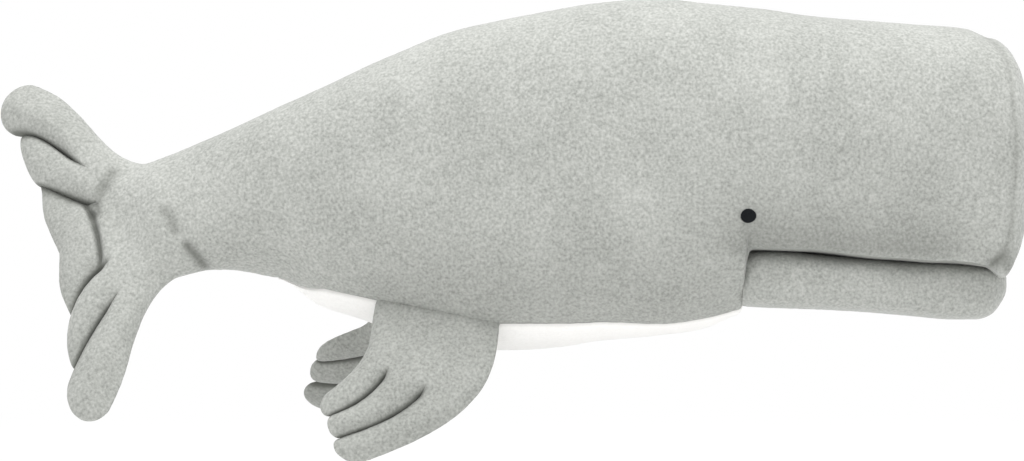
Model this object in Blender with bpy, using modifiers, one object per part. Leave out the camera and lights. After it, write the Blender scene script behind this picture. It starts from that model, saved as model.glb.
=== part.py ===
"""Plush sperm whale, 0.60 m long, lying along X with its head at +X.

The toy is sewn from fleece panels round polyester filling. Body and head are one
loft through rings of points; the panels are patches of that surface with a fabric
thickness, and the filling is the same loft drawn in. Fins and fluke lobes are flat
stitched pouches with three channels each. The jaw, the fins, the tail stock, the
fluke root and the lobes each stand on their own joint axis. The origin lies on the
flat patch under the belly. Units are metres.
"""

import math

import bmesh
import bpy
import numpy as np
from mathutils import Matrix, Vector
from mathutils.bvhtree import BVHTree

# Fabric, filling and seams
FABRIC = 0.0014
SEAM_GAP = 0.0003
SEAM_TRIM = 0.0005
CORNER_TRIM = 0.0009
FILLING_GAP = 0.0006
MERGE = 0.00001
SHARPEST_CORNER = 1.8

# Body and head
BODY_LENGTH = 0.472
BODY_HEIGHT = 0.2065
BODY_HALF_WIDTH = 0.0755
BODY_BACK = -0.184
FACE_BULGE = 0.0088
BELLY_FLAT_DEPTH = 0.0005
BELLY_LOW_SHARE = -BELLY_FLAT_DEPTH / BODY_HEIGHT

# Each row: place along the body, then top, widest point, side seam and underside as
# shares of the height, half width and half width at the seam as shares of the half width
BODY_SHARES = (
    (0.000, 0.591, 0.405, 0.226, 0.219, 0.37, 0.035),
    (0.040, 0.640, 0.420, 0.226, 0.217, 0.44, 0.045),
    (0.090, 0.694, 0.430, 0.217, 0.198, 0.51, 0.090),
    (0.140, 0.746, 0.440, 0.174, 0.125, 0.58, 0.240),
    (0.190, 0.800, 0.440, 0.149, 0.086, 0.65, 0.330),
    (0.240, 0.849, 0.440, 0.124, 0.047, 0.72, 0.410),
    (0.300, 0.903, 0.440, 0.092, 0.016, 0.79, 0.480),
    (0.365, 0.940, 0.440, 0.073, BELLY_LOW_SHARE, 0.86, 0.545),
    (0.440, 0.971, 0.450, 0.074, 0.006, 0.93, 0.580),
    (0.490, 0.989, 0.460, 0.077, 0.024, 0.96, 0.585),
    (0.565, 1.000, 0.470, 0.071, 0.040, 0.995, 0.585),
    (0.615, 0.989, 0.480, 0.086, 0.057, 1.00, 0.560),
    (0.655, 0.980, 0.490, 0.108, 0.094, 1.00, 0.510),
    (0.668, 0.977, 0.493, 0.121, 0.112, 0.998, 0.490),
    (0.672, 0.976, 0.496, 0.205, 0.208, 0.997, 0.660),
    (0.677, 0.975, 0.500, 0.290, 0.300, 0.996, 0.830),
    (0.740, 0.954, 0.520, 0.286, 0.297, 0.98, 0.850),
    (0.815, 0.940, 0.540, 0.267, 0.278, 0.95, 0.850),
    (0.890, 0.926, 0.550, 0.256, 0.267, 0.90, 0.850),
    (0.940, 0.922, 0.550, 0.253, 0.262, 0.86, 0.840),
    (0.975, 0.915, 0.545, 0.248, 0.253, 0.82, 0.830),
    (1.000, 0.891, 0.540, 0.240, 0.236, 0.77, 0.800),
)
THROAT_ROW = 13
ROOF_ROW = 15
WIDE_STEP_SHARE = 0.035
BACK_ROWS = 4
FLANK_ROWS = 4
BELLY_ROWS = 3
BACK_ROUNDNESS = 0.80
FLANK_TURN = math.radians(75)
BELLY_START = math.radians(35)

# The face seam leans back at its top and bottom: height share, shift as a share of length
FACE_SEAM_SHARES = (
    (0.24, -0.0160),
    (0.28, -0.0130),
    (0.41, -0.0040),
    (0.55, 0.0),
    (0.82, -0.0090),
    (0.90, -0.0300),
)
FACE_SEAM_START_SHARE = 0.86
FACE_RING_SHARES = (1.0, 0.93, 0.80, 0.58, 0.30, 0.0)
FACE_FULLNESS = 4.0
FACE_ROUNDNESS = 0.6

# Jaw
JAW_LENGTH = 0.1540
JAW_HEIGHT = 0.0325
JAW_HALF_WIDTH = 0.050
JAW_THROAT_GAP = 0.0005
JAW_LEAN_FADE = 4.0
MOUTH_SLIT = 0.0025
JAW_ROUNDNESS = 0.62
JAW_ROWS = 16
JAW_LIP_ROWS = 3
# Each row: place along the jaw, top and underside as shares of its height, half width share
JAW_SHARES = (
    (0.000, 0.975, 0.035, 0.945),
    (0.030, 0.992, 0.015, 0.980),
    (0.080, 1.000, 0.000, 1.000),
    (0.300, 0.905, -0.040, 1.000),
    (0.480, 0.835, -0.090, 0.985),
    (0.640, 0.790, -0.155, 0.960),
    (0.780, 0.760, -0.215, 0.930),
    (0.880, 0.735, -0.220, 0.880),
    (0.930, 0.690, -0.140, 0.810),
    (0.965, 0.640, 0.050, 0.710),
    (0.988, 0.590, 0.240, 0.560),
    (1.000, 0.440, 0.440, 0.000),
)

# Tail stock and fluke root
TAIL_PITCH = math.radians(18)
TAIL_TWIST = math.radians(63)
TAIL_BEND_WEDGE = math.radians(6)
STOCK_LENGTH = 0.0200
STOCK_DROP = 0.0055
STOCK_HALF_WIDTH = 0.0260
ROOT_HALF_SPAN = 0.0375
ROOT_HALF_THICK = 0.0230
ROOT_LENGTH = 0.0470
TAIL_ROWS = 20
TAIL_GAP = 0.0003
STOCK_SEAM_STEPS = 2
TWIST_GAP = 0.0006
# Each row: place along the fluke root, half span and half thickness as shares
ROOT_SHARES = (
    (0.00, 1.00, 1.00),
    (0.14, 1.00, 0.93),
    (0.255, 0.97, 0.84),
    (0.425, 0.76, 0.70),
    (0.64, 0.50, 0.54),
    (0.85, 0.23, 0.40),
    (0.94, 0.11, 0.26),
    (1.00, 0.00, 0.00),
)

# Fluke lobes, in the plane of the flukes: x along the tail towards the head, y outwards
LOBE_CHORD = 0.084
LOBE_SPAN = 0.111
LOBE_HALF_THICK = 0.0082
LOBE_ROOT_RADIUS = 0.0046
RIGHT_LOBE_SWEEP_SHARE = 0.15
LEFT_LOBE_SWEEP_SHARE = -0.04
# Columns run from the leading edge to the centre: root, middle and rim points as shares
# of the chord and of the span
LOBE_SHARES = (
    ((-0.183, 0.301), (-0.359, 0.643), (-0.661, 0.973)),
    ((-0.247, 0.253), (-0.465, 0.595), (-0.900, 0.920)),
    ((-0.310, 0.205), (-0.577, 0.526), (-0.830, 0.718)),
    ((-0.374, 0.157), (-0.633, 0.414), (-0.879, 0.569)),
    ((-0.437, 0.109), (-0.647, 0.287), (-0.823, 0.404)),
    ((-0.501, 0.061), (-0.703, 0.133), (-0.851, 0.196)),
    ((-0.564, 0.013), (-0.717, 0.013), (-0.816, 0.013)),
)
LOBE_STITCH_START_SHARE = 0.22

# Pectoral fins, in the plane of the fin: x along the root towards the head, y outwards
FIN_ROOT_LENGTH = 0.072
FIN_REACH = 0.101
FIN_HALF_THICK = 0.0080
FIN_ROOT_RADIUS = 0.0045
FIN_CLEARANCE = 0.0006
FIN_ROOT_START_SHARE = 0.212
FIN_ROOT_END_SHARE = 0.362
FIN_SEAM_LEAN = math.radians(31)
RIGHT_FIN_FLAP = math.radians(25)
LEFT_FIN_FLAP = math.radians(50)
RIGHT_FIN_SWEEP_SHARE = 0.0
LEFT_FIN_SWEEP_SHARE = 0.11
# Columns run from the rear edge to the leading edge, as shares of root length and reach
FIN_SHARES = (
    ((-0.500, 0.0), (-0.470, 0.300), (-0.670, 0.610)),
    ((-0.333, 0.0), (-0.340, 0.370), (-0.690, 0.685)),
    ((-0.167, 0.0), (-0.250, 0.450), (-0.640, 0.747)),
    ((0.000, 0.0), (-0.100, 0.500), (-0.610, 0.815)),
    ((0.167, 0.0), (0.060, 0.520), (-0.510, 0.889)),
    ((0.333, 0.0), (0.230, 0.550), (-0.510, 0.975)),
    ((0.500, 0.0), (0.370, 0.550), (-0.320, 0.990)),
)
FIN_STITCH_START_SHARE = 0.48

# Both kinds of limb
CHANNELS = 3
CHANNEL_COLUMNS = 4
LIMB_ROWS = 8
NOSE_ROWS = 2
STITCH_DEPTH_SHARE = 0.62
NOTCH_SHARE = 0.09
STITCH_FADE_SHARE = 0.3
SWELL_SHARE = 0.35
PUFF = 0.55
TIP_SQUARENESS = 5.0

# Eyes
EYE_RADIUS = 0.0043
EYE_RISE = 0.0011
EYE_EDGE = 0.0004
EYE_ALONG_SHARE = 0.6682
EYE_HEIGHT_SHARE = 0.387
EYE_STEPS = 20

COLOURS = {
    "grey_fleece": ((0.50, 0.51, 0.48), 0.95),
    "belly_fleece": ((0.90, 0.89, 0.86), 0.95),
    "lining": ((0.30, 0.31, 0.28), 0.95),
    "filling": ((0.88, 0.88, 0.87), 0.90),
    "eye_thread": ((0.012, 0.014, 0.015), 0.55),
}


def clear_scene():
    """Remove whatever the scene starts with."""
    for obj in list(bpy.data.objects):
        bpy.data.objects.remove(obj)


def new_collection(name):
    collection = bpy.data.collections.new(name)
    bpy.context.scene.collection.children.link(collection)
    return collection


def new_material(name, kind):
    """A Principled material for one piece."""
    colour, roughness = COLOURS[kind]
    material = bpy.data.materials.new(name)
    material.use_nodes = True
    shader = material.node_tree.nodes["Principled BSDF"]
    shader.inputs["Base Color"].default_value = (*colour, 1.0)
    shader.inputs["Roughness"].default_value = roughness
    shader.inputs["Metallic"].default_value = 0.0
    return material


def grid_mesh(points):
    """A mesh over a grid of points; points that coincide are welded into one."""
    rows, columns = points.shape[0] - 1, points.shape[1] - 1
    mesh = bmesh.new()
    bmesh.ops.create_grid(mesh, x_segments=rows, y_segments=columns, size=1)
    for vertex in mesh.verts:
        row = round((vertex.co.x + 1) / 2 * rows)
        column = round((vertex.co.y + 1) / 2 * columns)
        vertex.co = points[row, column]
    bmesh.ops.remove_doubles(mesh, verts=mesh.verts, dist=MERGE)
    return mesh


def finish(name, mesh, kind, pivot):
    """The named object of a mesh, parented to the empty on its joint axis."""
    data = bpy.data.meshes.new(name)
    mesh.to_mesh(data)
    mesh.free()
    data.shade_smooth()
    obj = bpy.data.objects.new(name, data)
    data.materials.append(new_material(name, kind))
    parts.objects.link(obj)
    if pivot is not None:
        obj.parent = pivot
        obj.matrix_parent_inverse = pivot.matrix_world.inverted()
    return obj


def trimmed(points, start=0.0, end=0.0, low=0.0, high=0.0):
    """The grid with its edges drawn back by these lengths, rows first, then columns."""
    points = points.copy()
    for amounts, grid in (((start, end), points), ((low, high), points.swapaxes(0, 1))):
        for amount, edge, inner in ((amounts[0], 0, 1), (amounts[1], -1, -2)):
            if amount:
                way = grid[inner] - grid[edge]
                grid[edge] += way * amount / np.linalg.norm(way, axis=1, keepdims=True)
    return points


def fabric_panel(name, points, inside, kind, pivot=None):
    """A sewn panel: the grid of points with the fabric's thickness on its inner side."""
    mesh = grid_mesh(points)
    turned_outward(mesh, inside)
    obj = finish(name, mesh, kind, pivot)
    shell = obj.modifiers.new("Fabric", "SOLIDIFY")
    shell.thickness = FABRIC
    shell.offset = -1
    return obj


def closed_columns(rings):
    return np.concatenate([rings, rings[:, :1]], axis=1)


def turned_outward(mesh, inside):
    """The open or closed surface with its faces pointing away from a point inside."""
    bmesh.ops.recalc_face_normals(mesh, faces=mesh.faces)
    outward = sum(
        face.normal.dot(face.calc_center_median() - Vector(inside)) * face.calc_area()
        for face in mesh.faces
    )
    if outward < 0:
        bmesh.ops.reverse_faces(mesh, faces=mesh.faces)


def draw_in(mesh, end_way=None):
    """Move a surface inwards past the fabric; open ends stay in their own planes."""
    mesh.normal_update()
    moves = []
    for vertex in mesh.verts:
        factor = min(vertex.calc_shell_factor(), SHARPEST_CORNER)
        way = vertex.normal.copy()
        if end_way is not None and vertex.is_boundary:
            way -= Vector(end_way) * way.dot(Vector(end_way))
            way /= way.length_squared
        moves.append(-way * (FABRIC + FILLING_GAP) * factor)
    for vertex, move in zip(mesh.verts, moves):
        vertex.co += move


def filling_solid(name, rings, inside, end_way, pivot=None):
    """The filling: the closed rings of a skin drawn in, each open end closed by a fan."""
    mesh = grid_mesh(closed_columns(rings))
    turned_outward(mesh, inside)
    draw_in(mesh, end_way)
    open_edges = [edge for edge in mesh.edges if edge.is_boundary]
    caps = bmesh.ops.holes_fill(mesh, edges=open_edges)["faces"]
    bmesh.ops.poke(mesh, faces=caps)
    bmesh.ops.recalc_face_normals(mesh, faces=mesh.faces)
    return finish(name, mesh, "filling", pivot)


def smooth_rows(table, places):
    """Rows of a table read at places along its first column, with no overshoot."""
    table = np.array(table)
    x, y = table[:, 0], table[:, 1:]
    step = np.diff(x)[:, None]
    slope = np.diff(y, axis=0) / step
    tangent = np.zeros_like(y)
    same_way = slope[:-1] * slope[1:] > 0
    weight_a = 2 * step[1:] + step[:-1]
    weight_b = step[1:] + 2 * step[:-1]
    safe = np.where(same_way, slope[:-1], 1), np.where(same_way, slope[1:], 1)
    mean = (weight_a + weight_b) / (weight_a / safe[0] + weight_b / safe[1])
    tangent[1:-1] = np.where(same_way, mean, 0)
    tangent[0], tangent[-1] = slope[0], slope[-1]
    k = np.clip(np.searchsorted(x, places, side="right") - 1, 0, len(x) - 2)
    t = ((places - x[k]) / np.diff(x)[k])[:, None]
    return (
        (1 + 2 * t) * (1 - t) ** 2 * y[k]
        + t * (1 - t) ** 2 * step[k] * tangent[k]
        + t**2 * (3 - 2 * t) * y[k + 1]
        + t**2 * (t - 1) * step[k] * tangent[k + 1]
    )


def ring_places():
    """Places along the body of its rings: the table's rows, with one between wide ones."""
    places = [row[0] for row in BODY_SHARES]
    between = [
        (a + b) / 2 for a, b in zip(places, places[1:]) if b - a > WIDE_STEP_SHARE
    ]
    return np.array(sorted(places + between))


def body_grid():
    """Points of the right half of the body, a row for each ring, from back to belly.

    The flank goes from the dorsal line over the widest point to the side seam, and
    the underside from there to the middle.
    """
    places = ring_places()
    rows = smooth_rows(BODY_SHARES, places)
    top, widest, seam, under = rows[:, :4].T * BODY_HEIGHT
    wide, seam_wide = rows[:, 4:].T * BODY_HALF_WIDTH
    x = BODY_BACK + places * BODY_LENGTH

    turn = np.linspace(math.pi / 2, 0, BACK_ROWS + 1)[None, :-1]
    y_back = wide[:, None] * np.cos(turn) ** BACK_ROUNDNESS
    z_back = widest[:, None] + (top - widest)[:, None] * np.sin(turn) ** BACK_ROUNDNESS
    turn = np.linspace(0, FLANK_TURN, FLANK_ROWS + 1)[None]
    fall = (np.cos(turn) - math.cos(FLANK_TURN)) / (1 - math.cos(FLANK_TURN))
    y_flank = seam_wide[:, None] + (wide - seam_wide)[:, None] * fall
    drop = np.sin(turn) / math.sin(FLANK_TURN)
    z_flank = widest[:, None] + (seam - widest)[:, None] * drop
    turn = np.linspace(BELLY_START, math.pi / 2, BELLY_ROWS + 1)[None, 1:]
    y_belly = seam_wide[:, None] * np.cos(turn) / math.cos(BELLY_START)
    drop = (np.sin(turn) - math.sin(BELLY_START)) / (1 - math.sin(BELLY_START))
    z_belly = seam[:, None] + (under - seam)[:, None] * drop

    y = -np.concatenate([y_back, y_flank, y_belly], axis=1)
    z = np.concatenate([z_back, z_flank, z_belly], axis=1)
    y[:, 0] = 0
    y[:, -1] = 0
    lean_at, lean = np.array(FACE_SEAM_SHARES).T
    lean = np.interp(z / BODY_HEIGHT, lean_at, lean) * BODY_LENGTH
    ramp = np.clip((places - FACE_SEAM_START_SHARE) / (1 - FACE_SEAM_START_SHARE), 0, 1)
    ramp = ramp**2 * (3 - 2 * ramp)
    wedge = np.abs(z - tail_middle()[2]) * math.tan(TAIL_BEND_WEDGE)
    behind = np.clip(1 - places / BODY_SHARES[1][0], 0, 1)
    x = x[:, None] + lean * ramp[:, None] + wedge * behind[:, None]
    return np.stack([x, y, z], axis=-1)


def mirrored(points):
    return points * np.array([1, -1, 1])


def whole_rings(half):
    """Closed rings from the right half's rows: down the right side and up the left."""
    return np.concatenate([half, mirrored(half)[:, -2:0:-1]], axis=1)


def tail_middle():
    """The middle of the seam between body and tail stock, on the bend axis."""
    top, under = BODY_SHARES[0][1], BODY_SHARES[0][4]
    return np.array([BODY_BACK, 0, (top + under) / 2 * BODY_HEIGHT])


def face_rings(seam_ring):
    """Rings from the face seam to the front of the head, which bulges forward."""
    middle = np.array([0, 0, BODY_SHARES[-1][2] * BODY_HEIGHT])
    front = seam_ring[:, 0].max() + FACE_BULGE
    rings = []
    for share in FACE_RING_SHARES:
        ring = middle + (seam_ring - middle) * share
        bulge = (1 - share**FACE_FULLNESS) ** FACE_ROUNDNESS
        ring[:, 0] = seam_ring[:, 0] + (front - seam_ring[:, 0]) * bulge
        rings.append(ring)
    return np.array(rings)


def pivot_empty(name, place, axis):
    """An empty on a joint axis, with its own X along the axis."""
    empty = bpy.data.objects.new(name, None)
    parts.objects.link(empty)
    empty.empty_display_size = EYE_RADIUS
    turn = Vector(axis).to_track_quat("X", "Z").to_matrix().to_4x4()
    empty.matrix_world = Matrix.Translation(Vector(place)) @ turn
    bpy.context.view_layer.update()
    return empty


def make_body():
    """Side panels, belly, mouth lining, face gusset and the filling of body and head."""
    half = body_grid()
    places = ring_places()
    throat = int(np.searchsorted(places, BODY_SHARES[THROAT_ROW][0]))
    seam = BACK_ROWS + FLANK_ROWS
    inside = (0, 0, BODY_HEIGHT / 2)
    flank = trimmed(half[:, : seam + 1], 0, SEAM_TRIM, SEAM_TRIM, SEAM_GAP)
    fabric_panel("side_panel_right", flank, inside, "grey_fleece")
    fabric_panel("side_panel_left", mirrored(flank), inside, "grey_fleece")

    under = np.concatenate([half[:, seam:], mirrored(half)[:, -2 : seam - 1 : -1]], axis=1)
    belly = trimmed(under[: throat + 1], 0, SEAM_TRIM, SEAM_TRIM, SEAM_TRIM)
    belly_panel = fabric_panel("belly_panel", belly, inside, "belly_fleece")
    tucked = FABRIC + SEAM_GAP
    lining = trimmed(under[throat:], tucked, tucked, tucked, tucked)
    fabric_panel("mouth_lining", lining, inside, "lining")

    rings = whole_rings(half)
    face = face_rings(closed_columns(rings)[-1])
    fabric_panel("face_gusset", trimmed(face, start=tucked), inside, "grey_fleece")
    rings = np.concatenate([rings, face_rings(rings[-1])[1:]])
    filling_solid("body_filling", rings, inside, (1, 0, 0))
    return half, belly_panel


def cut_belly_flat(panel):
    """The flat patch that the toy rests on, cut into the lowest part of the belly."""
    mesh = bmesh.new()
    bmesh.ops.create_cube(mesh, size=BODY_LENGTH)
    bmesh.ops.translate(mesh, verts=mesh.verts, vec=(0, 0, -BODY_LENGTH / 2))
    data = bpy.data.meshes.new("belly_flat_cutter")
    mesh.to_mesh(data)
    mesh.free()
    cutter = bpy.data.objects.new("belly_flat_cutter", data)
    cutter.hide_render = True
    cutter.display_type = "WIRE"
    cutters.objects.link(cutter)
    cut = panel.modifiers.new("Flat", "BOOLEAN")
    cut.object = cutter
    cut.operation = "DIFFERENCE"


def make_eyes(half):
    """Two satin-stitch eyes, each a low dome lying on its side panel."""
    points = half[:, : BACK_ROWS + FLANK_ROWS + 1]
    mesh = grid_mesh(points)
    bmesh.ops.triangulate(mesh, faces=mesh.faces)
    tree = BVHTree.FromBMesh(mesh)
    mesh.free()
    start = Vector((
        BODY_BACK + EYE_ALONG_SHARE * BODY_LENGTH,
        -BODY_LENGTH,
        EYE_HEIGHT_SHARE * BODY_HEIGHT,
    ))
    place, normal, _, _ = tree.ray_cast(start, Vector((0, 1, 0)))
    normal = normal if normal.y < 0 else -normal
    turn = normal.to_track_quat("Z", "Y")
    lift = 0.0
    for step in range(EYE_STEPS):
        angle = 2 * math.pi * step / EYE_STEPS
        rim = turn @ Vector((math.cos(angle), math.sin(angle), 0)) * EYE_RADIUS
        hit = tree.ray_cast(place + rim + normal * EYE_RADIUS, -normal)[0]
        lift = max(lift, (hit - place).dot(normal))
    for side, sign in (("right", 1), ("left", -1)):
        out = Vector((normal.x, normal.y * sign, normal.z))
        foot = Vector((place.x, place.y * sign, place.z)) + out * (lift + SEAM_GAP)
        bm = bmesh.new()
        bmesh.ops.create_uvsphere(
            bm, u_segments=EYE_STEPS, v_segments=EYE_STEPS // 2, radius=EYE_RADIUS
        )
        geometry = bm.verts[:] + bm.edges[:] + bm.faces[:]
        bmesh.ops.bisect_plane(
            bm, geom=geometry, plane_co=(0, 0, 0), plane_no=(0, 0, -1), clear_outer=True
        )
        rim = [edge for edge in bm.edges if edge.is_boundary]
        bmesh.ops.scale(bm, vec=(1, 1, EYE_RISE / EYE_RADIUS), verts=bm.verts)
        bmesh.ops.translate(bm, vec=(0, 0, EYE_EDGE), verts=bm.verts)
        base = bmesh.ops.extrude_edge_only(bm, edges=rim)["geom"]
        lowered = [item for item in base if isinstance(item, bmesh.types.BMVert)]
        bmesh.ops.translate(bm, vec=(0, 0, -EYE_EDGE), verts=lowered)
        bmesh.ops.holes_fill(bm, edges=[edge for edge in bm.edges if edge.is_boundary])
        bmesh.ops.recalc_face_normals(bm, faces=bm.faces)
        eye = finish("eye_" + side, bm, "eye_thread", None)
        eye.rotation_mode = "QUATERNION"
        eye.rotation_quaternion = out.to_track_quat("Z", "Y")
        eye.location = foot


def jaw_rings(place, lean):
    """Rings of the jaw from the throat to the chin, the last one drawn to a point.

    The hindmost ones lean with the throat wall, which runs back towards its foot.
    """
    along, top, under, wide = np.array(JAW_SHARES).T
    turn = np.linspace(0, 2 * math.pi, JAW_ROWS, endpoint=False)[None]
    side = np.sign(np.sin(turn)) * np.abs(np.sin(turn)) ** JAW_ROUNDNESS
    up = np.sign(np.cos(turn)) * np.abs(np.cos(turn)) ** JAW_ROUNDNESS
    x = np.repeat(along[:, None] * JAW_LENGTH, JAW_ROWS, axis=1)
    y = -wide[:, None] * JAW_HALF_WIDTH * side
    z = JAW_HEIGHT * ((top + under)[:, None] / 2 + (top - under)[:, None] / 2 * up)
    x += lean * z * ((1 - along) ** JAW_LEAN_FADE)[:, None]
    return np.stack([x, y, z], axis=-1) + place


def make_jaw():
    """Upper panel, under panel and filling of the jaw, hinged at the chin seam."""
    throat, roof = BODY_SHARES[THROAT_ROW], BODY_SHARES[ROOF_ROW]
    wall = BODY_BACK + throat[0] * BODY_LENGTH
    seam = throat[4] * BODY_HEIGHT
    lean = (roof[0] - throat[0]) * BODY_LENGTH / ((roof[4] - throat[4]) * BODY_HEIGHT)
    foot = roof[3] * BODY_HEIGHT - MOUTH_SLIT - JAW_HEIGHT
    place = np.array([wall + (foot - seam) * lean + JAW_THROAT_GAP, 0, foot])
    pivot = pivot_empty("jaw_pivot", (wall, 0, seam), (0, 1, 0))
    rings = jaw_rings(place, lean)
    inside = rings.mean(axis=(0, 1))
    rolled = np.roll(rings, JAW_LIP_ROWS, axis=1)
    across = 2 * JAW_LIP_ROWS
    upper = trimmed(rolled[:-1, : across + 1], 0, SEAM_TRIM, CORNER_TRIM, CORNER_TRIM)
    fabric_panel("jaw_upper_panel", upper, inside, "grey_fleece", pivot)
    around = np.concatenate([rolled[:-1, across:], rolled[:-1, :1]], axis=1)
    around = trimmed(around, 0, 0, CORNER_TRIM, CORNER_TRIM)
    point = np.repeat(rings[-1:, :1], around.shape[1], axis=1)
    under = np.concatenate([around, point])
    fabric_panel("jaw_under_panel", under, inside, "grey_fleece", pivot)
    filling_solid("jaw_filling", rings, inside, (1, 0, 0), pivot)


def ellipse(middle, across, upwards, start=0.0):
    """A ring of points round an ellipse with these half axes, from a starting angle."""
    turn = start + np.linspace(0, 2 * math.pi, TAIL_ROWS, endpoint=False)[:, None]
    return middle + np.sin(turn) * across + np.cos(turn) * upwards


def tail_axes():
    """The tail's own axes: forwards, and the flukes' span and normal once twisted."""
    forwards = np.array([math.cos(TAIL_PITCH), 0, math.sin(TAIL_PITCH)])
    upright = np.array([-math.sin(TAIL_PITCH), 0, math.cos(TAIL_PITCH)])
    sideways = np.array([0, 1, 0])
    span = math.cos(TAIL_TWIST) * sideways + math.sin(TAIL_TWIST) * upright
    return forwards, span, np.cross(forwards, span)


def root_middle():
    """The middle of the seam between tail stock and fluke root, on the twist axis."""
    return tail_middle() + np.array([-STOCK_LENGTH, 0, -STOCK_DROP])


def stock_rings():
    """Rings of the tail stock, from the body's oval to the fluke root's twisted one."""
    forwards, span, normal = tail_axes()
    top, under = BODY_SHARES[0][1], BODY_SHARES[0][4]
    middle = tail_middle()
    height = (top - under) / 2 * BODY_HEIGHT
    front = ellipse(
        middle,
        np.array([0, -STOCK_HALF_WIDTH, 0]),
        np.array([0, 0, height]),
        -STOCK_SEAM_STEPS * 2 * math.pi / TAIL_ROWS,
    )
    front[:, 0] -= np.abs(front[:, 2] - middle[2]) * math.tan(TAIL_BEND_WEDGE) + TAIL_GAP
    back = ellipse(
        root_middle() + forwards * TWIST_GAP,
        normal * ROOT_HALF_THICK,
        span * ROOT_HALF_SPAN,
    )
    return np.array([front, (front + back) / 2, back])


def root_rings():
    """Rings of the fluke root, which narrows to a point between the two lobes."""
    forwards, span, normal = tail_axes()
    return np.array([
        ellipse(
            root_middle() - forwards * ROOT_LENGTH * along,
            normal * ROOT_HALF_THICK * thick,
            span * ROOT_HALF_SPAN * wide,
        )
        for along, wide, thick in ROOT_SHARES
    ])


def make_tail():
    """Tail stock on the bend axis and fluke root on the twist axis."""
    forwards = tail_axes()[0]
    bend = pivot_empty("tail_bend_pivot", tail_middle(), (0, 1, 0))
    rings = stock_rings()
    inside = rings.mean(axis=(0, 1))
    covered = closed_columns(rings)
    half = TAIL_ROWS // 2
    for side, cover in (("right", covered[:, : half + 1]), ("left", covered[:, half:])):
        cover = trimmed(cover, 0, SEAM_GAP, CORNER_TRIM, CORNER_TRIM)
        fabric_panel("tail_stock_panel_" + side, cover, inside, "grey_fleece", bend)
    filling_solid("tail_stock_filling", rings, inside, forwards, bend)

    twist = pivot_empty("tail_twist_pivot", root_middle(), forwards)
    rings = root_rings()
    inside = rings[:-1].mean(axis=(0, 1))
    cover = trimmed(closed_columns(rings), start=SEAM_TRIM)
    fabric_panel("fluke_root_cover", cover, inside, "grey_fleece", twist)
    filling_solid("fluke_root_filling", rings, inside, forwards, twist)


def limb_grid(columns, sizes, radius, half_thick, stitch_start, sweep=0.0):
    """Half of a flat stitched limb, in its own plane, from its rounded root to its rim.

    The columns' root, middle and rim points give the outline, and the sweep leans it
    backwards. Thickness swells from the root, falls to the rim, and dips along the
    stitched lines between channels.
    """
    table = np.array(columns) * np.array(sizes)
    u = np.linspace(0, 1, CHANNELS * CHANNEL_COLUMNS + 1)
    places = np.linspace(0, 1, len(columns))
    flat = np.concatenate([places[:, None], table.reshape(len(columns), -1)], axis=1)
    root, middle, rim = np.split(smooth_rows(flat, u), 3, axis=1)
    bow = 2 * middle - (root + rim) / 2
    wave = np.abs(np.sin(CHANNELS * math.pi * u))
    rim = rim + (middle - rim) * ((1 - wave) * NOTCH_SHARE)[:, None]

    v = np.linspace(0, 1, LIMB_ROWS + 1)[1:]
    at = v[:, None, None]
    line = (1 - at) ** 2 * root + 2 * at * (1 - at) * bow + at**2 * rim
    stitched = np.clip((v - stitch_start) / STITCH_FADE_SHARE, 0, 1)[:, None]
    whole = np.sin(math.pi * u) ** PUFF
    across = whole * (1 - STITCH_DEPTH_SHARE * (1 - wave**PUFF) * stitched)
    swell = np.sin(np.clip(v / SWELL_SHARE, 0, 1) * math.pi / 2)
    swell = radius + (half_thick - radius) * swell
    ending = np.sqrt(1 - v**TIP_SQUARENESS)
    high = (swell * ending)[:, None] * across

    turn = np.linspace(math.pi / 2, 0, NOSE_ROWS + 1)
    along = root[-1] - root[0]
    outwards = np.array([-along[1], along[0]]) / np.linalg.norm(along)
    centre = len(u) // 2
    if outwards.dot(middle[centre] - root[centre]) < 0:
        outwards = -outwards
    nose = root - outwards * (radius * np.sin(turn))[:, None, None]
    nose_high = (radius * np.cos(turn))[:, None] * whole
    line[..., 0] -= sweep * (2 - v)[:, None] * (line[..., 1] - root[:, 1])
    line = np.concatenate([nose, line])
    high = np.concatenate([nose_high, high])
    high = np.maximum(high, FABRIC + SEAM_GAP / 2)
    return np.concatenate([line, high[..., None]], axis=-1)


def limb_filling(name, faces, middles, pivot):
    """The filling of a limb: both skins drawn in and joined round their edges."""
    mesh = bmesh.new()
    for grid in faces:
        half = grid_mesh(grid)
        turned_outward(half, middles)
        draw_in(half)
        rim = [vertex for vertex in half.verts if vertex.is_boundary]
        bmesh.ops.delete(half, geom=rim, context="VERTS")
        part = bpy.data.meshes.new(name + "_half")
        half.to_mesh(part)
        half.free()
        mesh.from_mesh(part)
        bpy.data.meshes.remove(part)
    bmesh.ops.bridge_loops(mesh, edges=[edge for edge in mesh.edges if edge.is_boundary])
    bmesh.ops.recalc_face_normals(mesh, faces=mesh.faces)
    return finish(name, mesh, "filling", pivot)


def make_limb(name, labels, shape, axes, place, pivot):
    """The two panels of a limb and its filling, in the plane of these axes."""
    grid = limb_grid(**shape)
    faces = [place + (grid * np.array([1, 1, side])) @ np.array(axes) for side in (1, -1)]
    middles = (faces[0] + faces[1]).mean(axis=(0, 1)) / 2
    for face, label in zip(faces, labels):
        fabric_panel(f"{name}_{label}_panel", face, middles, "grey_fleece", pivot)
    limb_filling(f"{name}_filling", faces, middles, pivot)


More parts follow.
